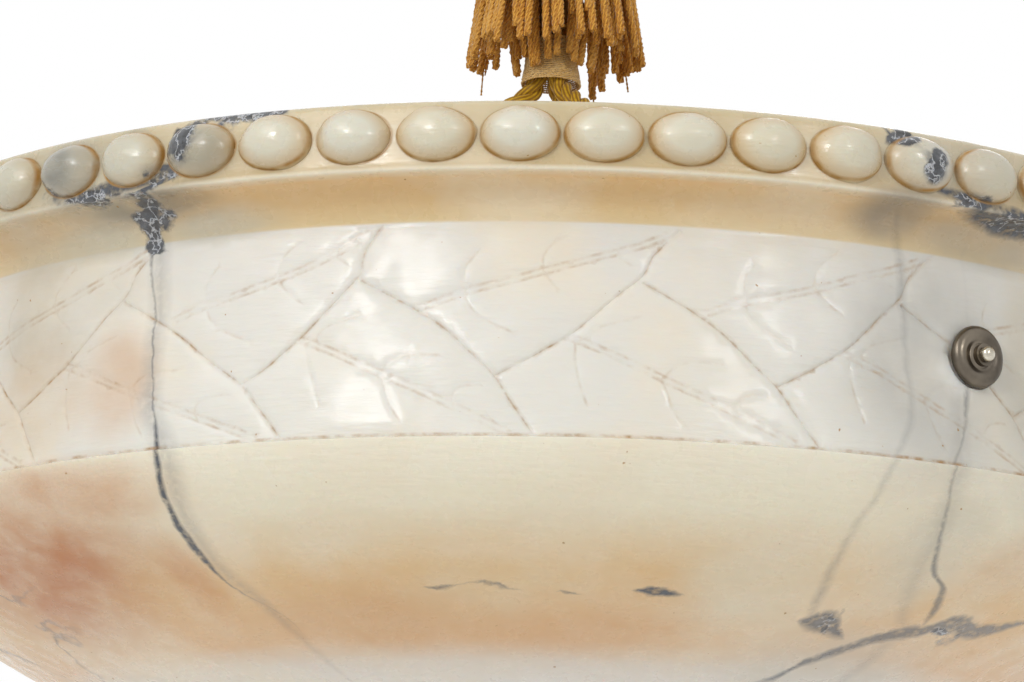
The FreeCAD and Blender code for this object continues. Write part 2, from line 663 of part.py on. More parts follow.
# ---- the bowl ---------------------------------------------------------------
def bowl_profile():
    """Return the closed outline of the bowl's wall."""
    cove_half = math.radians(QUARTER_TURN + COVE_SWEEP / 2)
    cove = V(COVE_START_R, 0, COVE_CENTRE_Z)
    cove_a = cove + xz(0, COVE_R)
    cove_m = cove + xz(COVE_R * math.cos(cove_half), COVE_R * math.sin(cove_half))
    cove_b = xz(BAND_TOP_R, BAND_TOP_Z)
    fascia_low = xz(FASCIA_BOTTOM_R, RIM_Z - FASCIA_H)
    band_low = xz(BAND_BOTTOM_R, BAND_BOTTOM_Z)
    start = math.radians(SHOULDER_START)
    shoulder = xz(BODY_R - SHOULDER_R * math.cos(start), BODY_Z + SHOULDER_R * math.sin(start))
    bottom = xz(0, bottom_centre_z(shoulder))
    join = math.atan2(bottom.z - shoulder.z, shoulder.x)
    shoulder_half = (start + join) / 2
    body_top = xz(BODY_R, BODY_Z)
    body_mid = shoulder + xz(SHOULDER_R * math.cos(shoulder_half), -SHOULDER_R * math.sin(shoulder_half))
    body_join = shoulder + xz(SHOULDER_R * math.cos(join), -SHOULDER_R * math.sin(join))
    lower_half = (join + math.pi / 2) / 2
    lower_r = bottom.z - BOTTOM_Z
    lower_mid = bottom + xz(lower_r * math.cos(lower_half), -lower_r * math.sin(lower_half))
    pole = xz(0, BOTTOM_Z)
    inner_r = lower_r - BOTTOM_WALL
    corner_x = RIM_INNER_R - INNER_CORNER_R
    corner_z = bottom.z - math.sqrt((inner_r - INNER_CORNER_R) ** 2 - corner_x ** 2)
    inner_join = math.atan2(bottom.z - corner_z, corner_x)
    inner_pole = xz(0, bottom.z - inner_r)
    inner_half = (inner_join + math.pi / 2) / 2
    inner_mid = bottom + xz(inner_r * math.cos(inner_half), -inner_r * math.sin(inner_half))
    inner_end = bottom + xz(inner_r * math.cos(inner_join), -inner_r * math.sin(inner_join))
    corner_mid = xz(corner_x + INNER_CORNER_R * math.cos(inner_join / 2),
                    corner_z - INNER_CORNER_R * math.sin(inner_join / 2))
    wall_low = xz(RIM_INNER_R, corner_z)
    rim_in = xz(RIM_INNER_R, RIM_Z - RIM_EDGE)
    rim_in_top = xz(RIM_INNER_R + RIM_EDGE, RIM_Z)
    rim_out_top = xz(RIM_R - RIM_EDGE, RIM_Z)
    rim_out = xz(RIM_R, RIM_Z - RIM_EDGE)
    return [
        line(rim_in_top, rim_out_top),
        line(rim_out_top, rim_out),
        line(rim_out, fascia_low),
        line(fascia_low, cove_a),
        arc(cove_a, cove_m, cove_b),
        line(cove_b, band_low),
        line(band_low, body_top),
        arc(body_top, body_mid, body_join),
        arc(body_join, lower_mid, pole),
        line(pole, inner_pole),
        arc(inner_pole, inner_mid, inner_end),
        arc(inner_end, corner_mid, wall_low),
        line(wall_low, rim_in),
        line(rim_in, rim_in_top),
    ]


def bottom_centre_z(shoulder):
    """Return the height of the bottom arc's centre: it meets the shoulder's arc and the pole."""
    reach = BOTTOM_Z + SHOULDER_R
    return (reach ** 2 - shoulder.x ** 2 - shoulder.z ** 2) / (2 * (reach - shoulder.z))


def bead():
    """One carved bead at the front: an egg lying along the rim."""
    bead_z = RIM_Z - BEAD_DEPTH
    fascia_r = RIM_R + FASCIA_SPLAY * BEAD_DEPTH / FASCIA_H
    centre = front(fascia_r + BEAD_PROUD - BEAD_HALF_H, bead_z)
    ellipse = Part.Ellipse(centre, BEAD_HALF_W, BEAD_HALF_H)
    half = Part.ArcOfEllipse(ellipse, 0, math.pi).toShape()
    axis_line = line(centre - X_AXIS * BEAD_HALF_W, centre + X_AXIS * BEAD_HALF_W)
    return Part.Face(Part.Wire([half, axis_line])).revolve(centre, X_AXIS, FULL_TURN)


def alabaster_bowl():
    """The carved bowl with its beads, and three drilled and seated fixing holes."""
    bowl = turned_edges(bowl_profile())
    pitch = FULL_TURN / BEAD_COUNT
    one = bead()
    beads = [at_azimuth(one, BEAD_FIRST_AZ + pitch * k) for k in range(BEAD_COUNT)]
    bowl = bowl.multiFuse(beads)
    hole = Part.makeCylinder(BOLT_R + BOLT_HOLE_CLEARANCE, RIM_R - TAB_FACE_RHO, V(0, 0, TAB_FACE_RHO))
    seat_out = Part.makeCylinder(OUTER_SEAT_R, RIM_R - OUTER_SEAT_RHO, V(0, 0, OUTER_SEAT_RHO))
    seat_in = Part.makeCylinder(INNER_SEAT_R, INNER_SEAT_RHO - TAB_FACE_RHO, V(0, 0, TAB_FACE_RHO))
    cutter = laid_radial(hole.multiFuse([seat_out, seat_in]), BOLT_Z)
    for azimuth in ROPE_AZIMUTHS:
        bowl = bowl.cut(at_azimuth(cutter, azimuth))
    return bowl


# ---- tassel -----------------------------------------------------------------
def tassel_head():
    """Turned mould, bored for the rope, which stands on the cup."""
    bore = MAIN_ROPE_R + SLIDE_CLEARANCE
    low = RIM_Z + CUP_TOP_H + TASSEL_GAP
    flange = RIM_Z + TASSEL_FLANGE_H
    shelf = flange + TASSEL_BAND_H
    bulge = shelf + TASSEL_BULGE_RISE
    neck = shelf + TASSEL_NECK_RISE
    top = neck + TASSEL_RING_H + TASSEL_CAP_H
    waist = xz(TASSEL_WAIST_R, shelf)
    shoulder = xz(TASSEL_NECK_R, neck)
    edges = [
        line(xz(bore, low), xz(TASSEL_PLUG_R, low)),
        line(xz(TASSEL_PLUG_R, low), xz(TASSEL_PLUG_R, flange)),
        line(xz(TASSEL_PLUG_R, flange), xz(TASSEL_FLANGE_R, flange)),
        line(xz(TASSEL_FLANGE_R, flange), xz(TASSEL_FLANGE_R, shelf)),
        line(xz(TASSEL_FLANGE_R, shelf), waist),
        arc(waist, xz(TASSEL_BULGE_R, bulge), shoulder),
        line(shoulder, xz(TASSEL_NECK_R, top)),
        line(xz(TASSEL_NECK_R, top), xz(bore, top)),
        line(xz(bore, top), xz(bore, low)),
    ]
    return turned_edges(edges)


def rounded_collar(inner, outer, bevel, low, high):
    """Return a collar on the Z axis with a rounded outside."""
    edges = [
        line(xz(inner, low), xz(outer - bevel, low)),
        arc(xz(outer - bevel, low), xz(outer, (low + high) / 2), xz(outer - bevel, high)),
        line(xz(outer - bevel, high), xz(inner, high)),
        line(xz(inner, high), xz(inner, low)),
    ]
    return turned_edges(edges)


def tassel_band():
    """Gimp braid round the head, over the top of the skirt."""
    low = RIM_Z + TASSEL_FLANGE_H
    high = low + TASSEL_BAND_H
    return rounded_collar(TASSEL_FLANGE_R, TASSEL_BAND_R, TASSEL_BAND_BEVEL, low, high)


def tassel_ring():
    """Corded ring round the head's neck."""
    low = RIM_Z + TASSEL_FLANGE_H + TASSEL_BAND_H + TASSEL_NECK_RISE
    high = low + TASSEL_RING_H
    return rounded_collar(TASSEL_NECK_R, TASSEL_RING_R, TASSEL_RING_BEVEL, low, high)


def lobed_outline(radius, z):
    """Return a closed outline of side-by-side cords round the axis."""
    step = 2 * math.pi / SKIRT_LOBES
    edges = []
    for k in range(SKIRT_LOBES):
        angles = (step * k, step * (k + 0.5), step * (k + 1))
        radii = (radius - SKIRT_LOBE_RISE, radius, radius - SKIRT_LOBE_RISE)
        points = [V(r * math.cos(a), r * math.sin(a), z) for r, a in zip(radii, angles)]
        edges.append(arc(*points))
    return Part.Wire(edges)


def tassel_skirt():
    """Skirt of hanging cords as one ribbed bell, open round the cup."""
    levels = ((SKIRT_BOTTOM_R, SKIRT_BOTTOM_H), (SKIRT_WAIST_R, SKIRT_WAIST_H), (SKIRT_TOP_R, TASSEL_FLANGE_H))
    skirt = Part.makeLoft([lobed_outline(r, RIM_Z + h) for r, h in levels], True, True)
    low = RIM_Z + CUP_TOP_H + TASSEL_GAP
    bottom = RIM_Z + SKIRT_BOTTOM_H
    inner = Part.makeCylinder(CUP_R + SKIRT_INNER_GAP, low - bottom + 2 * CUT_PAST, V(0, 0, bottom - CUT_PAST))
    plug = Part.makeCylinder(TASSEL_PLUG_R, TASSEL_FLANGE_H, V(0, 0, low))
    return skirt.cut(inner).cut(plug)


# ---- lamp frame and cluster -------------------------------------------------
def frame_arm():
    """One strap at the front: flat from the middle, bent up behind the wall eye."""
    bend_rho = TAB_FACE_RHO - STRAP_BEND_R
    bend_z = FRAME_Z + STRAP_BEND_R
    bend = front(bend_rho, bend_z)
    diagonal = (front(1, 0) - Z_AXIS).normalize()
    tab_top = BOLT_Z + TAB_ABOVE
    inner_rho = TAB_FACE_RHO - STRAP_T
    edges = [
        line(front(0, FRAME_Z), front(bend_rho, FRAME_Z)),
        arc(front(bend_rho, FRAME_Z), bend + diagonal * STRAP_BEND_R, front(TAB_FACE_RHO, bend_z)),
        line(front(TAB_FACE_RHO, bend_z), front(TAB_FACE_RHO, tab_top)),
        line(front(TAB_FACE_RHO, tab_top), front(inner_rho, tab_top)),
        line(front(inner_rho, tab_top), front(inner_rho, bend_z)),
        arc(front(inner_rho, bend_z), bend + diagonal * (STRAP_BEND_R - STRAP_T),
            front(bend_rho, FRAME_Z + STRAP_T)),
        line(front(bend_rho, FRAME_Z + STRAP_T), front(0, FRAME_Z + STRAP_T)),
        line(front(0, FRAME_Z + STRAP_T), front(0, FRAME_Z)),
    ]
    strap = Part.Face(Part.Wire(edges)).extrude(X_AXIS * STRAP_W)
    strap.translate(X_AXIS * (-STRAP_W / 2))
    hole = Part.makeCylinder(BOLT_R + FIT_CLEARANCE, STRAP_T + 2 * CUT_PAST, V(0, 0, inner_rho - CUT_PAST))
    return strap.cut(laid_radial(hole, BOLT_Z))


def lamp_frame():
    """Three-armed strap frame that carries the lamps, held by the wall bolts."""
    disc = Part.makeCylinder(FRAME_DISC_R, STRAP_T, V(0, 0, FRAME_Z))
    arms = [at_azimuth(frame_arm(), azimuth) for azimuth in ROPE_AZIMUTHS]
    frame = disc.multiFuse(arms)
    for hole in frame_screw_holes():
        frame = frame.cut(hole)
    return frame.removeSplitter()


def frame_screw_holes():
    """Return the three screw holes through the disc and the cluster's base."""
    hole = Part.makeCylinder(FRAME_SCREW_R + FIT_CLEARANCE, STRAP_T + CLUSTER_WALL + 2 * CUT_PAST,
                             V(0, -FRAME_SCREW_PCD / 2, FRAME_Z - CUT_PAST))
    return [at_azimuth(hole, azimuth) for azimuth in ROPE_AZIMUTHS]


def frame_screws():
    """Three pan-head screws from below."""
    length = STRAP_T + CLUSTER_WALL + FRAME_SCREW_PAST
    shank = Part.makeCylinder(FRAME_SCREW_R, length, V(0, -FRAME_SCREW_PCD / 2, FRAME_Z))
    head = Part.makeCylinder(FRAME_SCREW_HEAD_R, FRAME_SCREW_HEAD_H,
                             V(0, -FRAME_SCREW_PCD / 2, FRAME_Z - FRAME_SCREW_HEAD_H))
    screw = shank.fuse(head)
    return group([at_azimuth(screw, azimuth) for azimuth in ROPE_AZIMUTHS])


def lamp_cluster():
    """Round brass body that joins the three lampholders."""
    body = Part.makeCylinder(CLUSTER_R, CLUSTER_H, V(0, 0, CLUSTER_LOW))
    inside = Part.makeCylinder(CLUSTER_R - CLUSTER_WALL, CLUSTER_H, V(0, 0, CLUSTER_LOW + CLUSTER_WALL))
    body = body.cut(inside)
    way = laid_radial(Part.makeCylinder(NIPPLE_R + FIT_CLEARANCE, CLUSTER_WALL + 2 * CUT_PAST,
                                        V(0, 0, CLUSTER_R - CLUSTER_WALL - CUT_PAST)), BOLT_Z)
    for azimuth in LAMP_AZIMUTHS:
        body = body.cut(at_azimuth(way, azimuth))
    for hole in frame_screw_holes():
        body = body.cut(hole)
    return body


def cluster_cover():
    """Turned cover on the cluster, with a spigot inside it."""
    spigot_r = CLUSTER_R - CLUSTER_WALL - FIT_CLEARANCE
    outer = CLUSTER_R + COVER_OVERHANG
    top = CLUSTER_TOP + COVER_T
    bore = CLUSTER_GLAND_BORE_R + CLUSTER_WALL
    return turned([(bore, CLUSTER_TOP - COVER_SPIGOT), (spigot_r, CLUSTER_TOP - COVER_SPIGOT),
                   (spigot_r, CLUSTER_TOP), (outer, CLUSTER_TOP), (outer, top),
                   (COVER_CROWN_R, top + COVER_CROWN_H), (bore, top + COVER_CROWN_H)])


def cluster_gland():
    """Turned gland on the cover that the flex would go into."""
    seat = CLUSTER_TOP + COVER_T + COVER_CROWN_H
    neck = CLUSTER_GLAND_BORE_R + CLUSTER_WALL - FIT_CLEARANCE
    return turned([(CLUSTER_GLAND_BORE_R, CLUSTER_TOP), (neck, CLUSTER_TOP), (neck, seat),
                   (CLUSTER_GLAND_R, seat), (CLUSTER_GLAND_R, seat + CLUSTER_GLAND_H / 2),
                   (neck, seat + CLUSTER_GLAND_H), (CLUSTER_GLAND_BORE_R, seat + CLUSTER_GLAND_H)])


def nipples():
    """Three threaded tubes between the cluster and the lampholders."""
    start = CLUSTER_R - CLUSTER_WALL - NIPPLE_IN
    nipple = laid_radial(tube(NIPPLE_R, NIPPLE_BORE_R, start, LINER_BACK), BOLT_Z)
    return group([at_azimuth(nipple, azimuth) for azimuth in LAMP_AZIMUTHS])


def lampholder_shell():
    """Brass shell of a lampholder, laid at the front."""
    inner = HOLDER_R - HOLDER_WALL
    bore = NIPPLE_R + FIT_CLEARANCE
    shell = turned([(bore, HOLDER_BACK), (HOLDER_R - HOLDER_BACK_T, HOLDER_BACK),
                    (HOLDER_R, HOLDER_BACK + HOLDER_BACK_T), (HOLDER_R, HOLDER_MOUTH), (inner, HOLDER_MOUTH),
                    (inner, LINER_BACK), (bore, LINER_BACK)])
    return laid_radial(shell, BOLT_Z)


def lampholder_liner():
    """Ceramic inside of a lampholder, which takes the lamp's cap."""
    bore = LAMP_CAP_R + SLIDE_CLEARANCE
    mouth = HOLDER_MOUTH - LINER_INSET
    liner = turned([(0, LINER_BACK), (LINER_R, LINER_BACK), (LINER_R, mouth), (bore, mouth),
                    (bore, LINER_BACK + LINER_BACK_T), (0, LINER_BACK + LINER_BACK_T)])
    return laid_radial(liner, BOLT_Z)


def shade_ring():
    """Knurled ring round a lampholder."""
    low = HOLDER_BACK + SHADE_RING_AT
    return laid_radial(tube(SHADE_RING_R, HOLDER_R + FIT_CLEARANCE, low, low + SHADE_RING_T), BOLT_Z)


def lamp_cap():
    """Hollow metal cap of a bulb with its end contact."""
    inner = LAMP_CAP_R - LAMP_CAP_WALL
    floor = LAMP_CAP_BACK + LAMP_CAP_WALL
    cap = turned([(0, LAMP_CAP_BACK - LAMP_CONTACT_H), (LAMP_CONTACT_R, LAMP_CAP_BACK - LAMP_CONTACT_H),
                  (LAMP_CONTACT_R, LAMP_CAP_BACK), (LAMP_CAP_R, LAMP_CAP_BACK), (LAMP_CAP_R, LAMP_CAP_MOUTH),
                  (inner, LAMP_CAP_MOUTH), (inner, floor), (0, floor)])
    return laid_radial(cap, BOLT_Z)


def bulb_glass():
    """Round frosted bulb, a thin shell open at its neck."""
    neck_end = LAMP_CAP_MOUTH + BULB_NECK_L
    centre = neck_end + math.sqrt(BULB_R ** 2 - BULB_NECK_R ** 2)
    inner_r = BULB_R - BULB_WALL
    inner_neck = BULB_NECK_R - BULB_WALL
    inner_end = centre - math.sqrt(inner_r ** 2 - inner_neck ** 2)
    edges = [
        line(xz(inner_neck, LAMP_CAP_MOUTH), xz(BULB_NECK_R, LAMP_CAP_MOUTH)),
        line(xz(BULB_NECK_R, LAMP_CAP_MOUTH), xz(BULB_NECK_R, neck_end)),
        arc(xz(BULB_NECK_R, neck_end), xz(BULB_R, centre), xz(0, centre + BULB_R)),
        line(xz(0, centre + BULB_R), xz(0, centre + inner_r)),
        arc(xz(0, centre + inner_r), xz(inner_r, centre), xz(inner_neck, inner_end)),
        line(xz(inner_neck, inner_end), xz(inner_neck, LAMP_CAP_MOUTH)),
    ]
    return laid_radial(turned_edges(edges), BOLT_Z)


# ---- writing ----------------------------------------------------------------
def write(name, shape):
    """Write one node's STEP file and print its size."""
    if not shape.isValid():
        raise ValueError(name + " is not valid")
    shape.exportStep("parts/" + name + ".step")
    box = shape.BoundBox
    print("%-26s solids %2d  volume %10.0f  z %7.1f to %7.1f" % (name, len(shape.Solids), shape.Volume,
                                                              box.ZMin, box.ZMax))


def write_each(prefix, shape, sides, azimuths):
    """Write a repeated piece as one node for each side."""
    for side, azimuth in zip(sides, azimuths):
        write(prefix + "_" + side, at_azimuth(shape, azimuth))


def all_round(shape):
    """Return three copies of a wall fixing as one group."""
    return group([at_azimuth(shape, azimuth) for azimuth in ROPE_AZIMUTHS])


def main():
    """Build every piece and write it."""
    os.makedirs("parts", exist_ok=True)
    write("ceiling_plate", ceiling_plate())
    write("hook_bush", hook_bush())
    write("flex_bush", flex_bush())
    write("terminal_block", terminal_block())
    write("swivel_hook", swivel_hook())
    write("hook_nut", hook_nut())
    write("shackle", shackle())
    write("shackle_pin", shackle_pin())
    write("shackle_nut", shackle_nut())
    write("rope_cap", rope_cap())
    write("cap_screws", grub_screws(CAP_R, MAIN_ROPE_R, cap_screw_z()))
    write("main_rope", main_rope())
    write("rope_cup", rope_cup())
    write("cup_screws", grub_screws(CUP_R, MAIN_ROPE_R, cup_screw_z()))
    write("silk_whipping", whipping())
    write_each("rope", bowl_rope(), ROPE_SIDES, ROPE_AZIMUTHS)
    write_each("rope_ferrule", rope_ferrule(), ROPE_SIDES, ROPE_AZIMUTHS)
    write("eye_bolts", all_round(eye_bolt()))
    write("inner_felt_washers", all_round(radial_washer(FELT_R, BOLT_R + FIT_CLEARANCE,
                                                        TAB_FACE_RHO, INNER_SEAT_RHO)))
    write("outer_felt_washers", all_round(radial_washer(FELT_R, BOLT_R + FIT_CLEARANCE,
                                                        OUTER_SEAT_RHO, OUTER_SEAT_RHO + FELT_T)))
    write_each("rosette", rosette(), ROPE_SIDES, ROPE_AZIMUTHS)
    write("rosette_nuts", all_round(rosette_nut()))
    write("alabaster_bowl", alabaster_bowl())
    write("tassel_head", tassel_head())
    write("tassel_band", tassel_band())
    write("tassel_ring", tassel_ring())
    write("tassel_skirt", tassel_skirt())
    write("lamp_frame", lamp_frame())
    write("frame_screws", frame_screws())
    write("lamp_cluster", lamp_cluster())
    write("cluster_cover", cluster_cover())
    write("cluster_gland", cluster_gland())
    write("cluster_nipples", nipples())
    write_each("lampholder_shell", lampholder_shell(), LAMP_SIDES, LAMP_AZIMUTHS)
    write_each("lampholder_liner", lampholder_liner(), LAMP_SIDES, LAMP_AZIMUTHS)
    write_each("shade_ring", shade_ring(), LAMP_SIDES, LAMP_AZIMUTHS)
    write_each("lamp_cap", lamp_cap(), LAMP_SIDES, LAMP_AZIMUTHS)
    write_each("bulb", bulb_glass(), LAMP_SIDES, LAMP_AZIMUTHS)


main()
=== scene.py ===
"""Alabaster bowl pendant: carved stone bowl, silk ropes, tassel and brass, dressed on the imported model."""

import logging
import math
import random
from dataclasses import dataclass, field
from enum import Enum
from functools import lru_cache
from typing import Any, Iterable, Mapping, Sequence

import bmesh
import bpy
import numpy as np
from mathutils import Matrix, Vector, noise
from mathutils.geometry import delaunay_2d_cdt

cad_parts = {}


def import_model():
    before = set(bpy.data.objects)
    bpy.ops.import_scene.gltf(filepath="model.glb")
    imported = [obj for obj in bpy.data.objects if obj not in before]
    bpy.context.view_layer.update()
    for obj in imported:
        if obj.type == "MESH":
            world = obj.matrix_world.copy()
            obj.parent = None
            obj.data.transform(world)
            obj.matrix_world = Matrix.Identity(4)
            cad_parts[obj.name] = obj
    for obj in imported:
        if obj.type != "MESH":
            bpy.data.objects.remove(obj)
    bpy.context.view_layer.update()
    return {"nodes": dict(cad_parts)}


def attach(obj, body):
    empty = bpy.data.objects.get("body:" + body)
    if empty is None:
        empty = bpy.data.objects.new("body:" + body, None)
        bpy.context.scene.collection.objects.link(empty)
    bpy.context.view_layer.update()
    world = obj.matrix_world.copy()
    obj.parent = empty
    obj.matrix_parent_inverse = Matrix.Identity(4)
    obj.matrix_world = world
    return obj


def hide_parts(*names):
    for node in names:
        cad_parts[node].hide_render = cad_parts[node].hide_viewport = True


LOG = logging.getLogger("pendant")
MM = 0.001
RIM_Z = -0.388
TURN = 2 * math.pi
ROPE_AZIMUTHS = {"front_right": 33.0, "rear_right": 153.0, "left": 273.0}
LEAF_BAND_R = 213.7
MATH, VECTOR, RANGE, MIX = "ShaderNodeMath", "ShaderNodeVectorMath", "ShaderNodeMapRange", "ShaderNodeMix"
Point = tuple[float, float]


# ---- small helpers ----------------------------------------------------------
def linear(code: str) -> tuple[float, float, float, float]:
    """Turn an sRGB hex colour into linear RGBA.

    Args:
        code: a colour such as "#D6BEA0".

    Returns:
        The linear red, green, blue and an alpha of one.
    """
    channels = (int(code[k:k + 2], 16) / 255 for k in (1, 3, 5))
    light = [c / 12.92 if c <= 0.04045 else ((c + 0.055) / 1.055) ** 2.4 for c in channels]
    return (light[0], light[1], light[2], 1.0)


def add_node(tree: bpy.types.NodeTree, kind: str, inputs: Mapping[Any, Any] | Sequence[Any] = (),
             **settings: Any) -> bpy.types.Node:
    """Add a node with its settings, values and links.

    Args:
        tree: the node tree.
        kind: the node's type.
        inputs: a value or an output socket for each input, by name or index, or in their own order.
        settings: the node's own settings.

    Returns:
        The new node.
    """
    node = tree.nodes.new(kind)
    for name, value in settings.items():
        setattr(node, name, value)
    for key, value in inputs.items() if isinstance(inputs, dict) else enumerate(inputs):
        if isinstance(value, bpy.types.NodeSocket):
            tree.links.new(value, node.inputs[key])
        else:
            node.inputs[key].default_value = value
    return node


def at_azimuth(rho: float, z: float, azimuth: float) -> Vector:
    """Return the point at a radius and height in metres, and degrees round from the front."""
    angle = math.radians(azimuth)
    return Vector((rho * math.sin(angle), -rho * math.cos(angle), z))


def link_mesh(name: str, mesh: bpy.types.Mesh) -> bpy.types.Object:
    """Put a mesh in the scene as an object at the origin."""
    piece = bpy.data.objects.new(name, mesh)
    bpy.context.scene.collection.objects.link(piece)
    return piece


def mesh_from(name: str, vertices: Sequence[Sequence[float]], faces: Sequence[Sequence[int]],
              material: bpy.types.Material) -> bpy.types.Mesh:
    """Make a smooth mesh with one material.

    Args:
        name: the mesh's name.
        vertices: points in metres.
        faces: indices of each face's corners.
        material: its finish.

    Returns:
        The mesh, with its faces pointing outwards.
    """
    mesh = bpy.data.meshes.new(name)
    mesh.from_pydata([tuple(v) for v in vertices], [], [tuple(f) for f in faces])
    shape = bmesh.new()
    shape.from_mesh(mesh)
    bmesh.ops.remove_doubles(shape, verts=shape.verts, dist=2e-6)
    bmesh.ops.recalc_face_normals(shape, faces=shape.faces)
    shape.to_mesh(mesh)
    shape.free()
    mesh.materials.append(material)
    mesh.shade_smooth()
    return mesh


def curve_from(name: str, routes: Iterable[Sequence[Vector]], kind: str = "POLY",
               closed: bool = False) -> bpy.types.Object:
    """Make a curve object with one spline for each route.

    Args:
        name: the object's name.
        routes: the points of each spline, in metres.
        kind: "POLY" or "NURBS".
        closed: whether each spline joins its own start.

    Returns:
        The curve object, in the scene.
    """
    curve = bpy.data.curves.new(name, "CURVE")
    curve.dimensions = "3D"
    for route in routes:
        spline = curve.splines.new(kind)
        spline.points.add(len(route) - 1)
        for point, place in zip(spline.points, route):
            point.co = (*place, 1.0)
        spline.use_cyclic_u = closed
        if kind == "NURBS":
            spline.order_u = 3
            spline.use_endpoint_u = True
            spline.resolution_u = 24
    piece = bpy.data.objects.new(name, curve)
    bpy.context.scene.collection.objects.link(piece)
    return piece


def evaluated_mesh(piece: bpy.types.Object) -> bpy.types.Mesh:
    """Return the plain mesh that an object shows with its modifiers."""
    graph = bpy.context.evaluated_depsgraph_get()
    return bpy.data.meshes.new_from_object(piece.evaluated_get(graph), preserve_all_data_layers=True,
                                           depsgraph=graph)


def grown(source: bpy.types.Object, tree: bpy.types.NodeTree, values: Mapping[str, Any],
          name: str) -> bpy.types.Object:
    """Run a geometry tree on an object and keep only the plain mesh that it grows.

    Args:
        source: the curve or mesh that the tree starts from; it is removed.
        tree: the geometry tree.
        values: a value for each named input.
        name: the new piece's name.

    Returns:
        The new mesh object.
    """
    sockets = {item.name: item.identifier for item in tree.interface.items_tree
               if item.item_type == "SOCKET" and item.in_out == "INPUT"}
    modifier = source.modifiers.new("grow", "NODES")
    modifier.node_group = tree
    for key, value in values.items():
        modifier[sockets[key]] = value
    mesh = evaluated_mesh(source)
    source.modifiers.remove(modifier)
    bpy.data.objects.remove(source)
    mesh.name = name
    return link_mesh(name, mesh)


def geometry_tree(name: str, sockets: Mapping[str, str]) -> tuple[bpy.types.NodeTree, bpy.types.Node]:
    """Start a geometry tree.

    Args:
        name: the tree's name.
        sockets: each named input and its socket type.

    Returns:
        The tree and its group input node.
    """
    tree = bpy.data.node_groups.new(name, "GeometryNodeTree")
    tree.interface.new_socket("Geometry", in_out="OUTPUT", socket_type="NodeSocketGeometry")
    tree.interface.new_socket("Geometry", in_out="INPUT", socket_type="NodeSocketGeometry")
    for key, kind in sockets.items():
        tree.interface.new_socket(key, in_out="INPUT", socket_type=kind)
    return tree, tree.nodes.new("NodeGroupInput")


def finish_tree(tree: bpy.types.NodeTree, geometry: bpy.types.NodeSocket,
                material: bpy.types.NodeSocket) -> None:
    """End a geometry tree: real geometry, smooth, with its material."""
    real = add_node(tree, "GeometryNodeRealizeInstances", {"Geometry": geometry})
    smooth = add_node(tree, "GeometryNodeSetShadeSmooth", {"Geometry": real.outputs["Geometry"]})
    dressed = add_node(tree, "GeometryNodeSetMaterial", {"Geometry": smooth.outputs["Geometry"],
                                                         "Material": material})
    add_node(tree, "NodeGroupOutput", {"Geometry": dressed.outputs["Geometry"]})


# ---- finishes ---------------------------------------------------------------
@dataclass(frozen=True)
class Finish:
    """What every finish has: a name, and a shader built from its nodes."""

    name: str
    slot: str

    def surface(self, tree: bpy.types.NodeTree, shader: bpy.types.Node) -> None:
        """Add this finish's nodes to the shader."""
        raise NotImplementedError

    def speckle(self, tree: bpy.types.NodeTree, size_mm: float, detail: float = 4.0) -> bpy.types.NodeSocket:
        """Return noise with spots of about a size, on object coordinates.

        Args:
            tree: the material's tree.
            size_mm: the spots' size in millimetres.
            detail: how many finer layers it has.

        Returns:
            The noise's output socket, from 0 to 1.
        """
        place = add_node(tree, "ShaderNodeTexCoord").outputs["Object"]
        return add_node(tree, "ShaderNodeTexNoise", {"Vector": place, "Scale": 1 / (size_mm * MM),
                                                     "Detail": detail}).outputs["Fac"]

    def bump(self, tree: bpy.types.NodeTree, shader: bpy.types.Node, height: bpy.types.NodeSocket,
             depth_mm: float, strength: float = 1.0) -> None:
        """Give the shader a bump of a real depth in millimetres."""
        lift = add_node(tree, "ShaderNodeBump", {"Height": height, "Distance": depth_mm * MM,
                                                 "Strength": strength})
        tree.links.new(lift.outputs["Normal"], shader.inputs["Normal"])


@lru_cache(maxsize=None)
def material_of(finish: Finish) -> bpy.types.Material:
    """Return the material of a finish, built once."""
    material = bpy.data.materials.new(finish.name)
    material.use_nodes = True
    shader = next(n for n in material.node_tree.nodes if n.type == "BSDF_PRINCIPLED")
    finish.surface(material.node_tree, shader)
    return material


@dataclass(frozen=True)
class Metal(Finish):
    """Turned, cast or drawn metal: tarnish in soft clouds, rubbed brighter in between."""

    bright: str = "#C9A35C"
    dull: str = "#7A5A2C"
    tarnish: float = 0.5
    rough: Point = (0.26, 0.5)
    cloud_mm: float = 9.0

    def surface(self, tree: bpy.types.NodeTree, shader: bpy.types.Node) -> None:
        """Mix the bright metal and its tarnish, and roughen where it is dull."""
        clouds = self.speckle(tree, self.cloud_mm)
        grain = self.speckle(tree, 0.6, 2.0)
        dulled = add_node(tree, RANGE, (clouds, 0.55 - 0.35 * self.tarnish,
                                        0.88 - 0.25 * self.tarnish)).outputs[0]
        colour = add_node(tree, MIX, {0: dulled, 6: linear(self.bright), 7: linear(self.dull)},
                          data_type="RGBA").outputs[2]
        tree.links.new(colour, shader.inputs["Base Color"])
        rough = add_node(tree, RANGE, (dulled, 0.0, 1.0, *self.rough)).outputs[0]
        tree.links.new(rough, shader.inputs["Roughness"])
        shader.inputs["Metallic"].default_value = 1.0
        self.bump(tree, shader, grain, 0.04, 0.5)


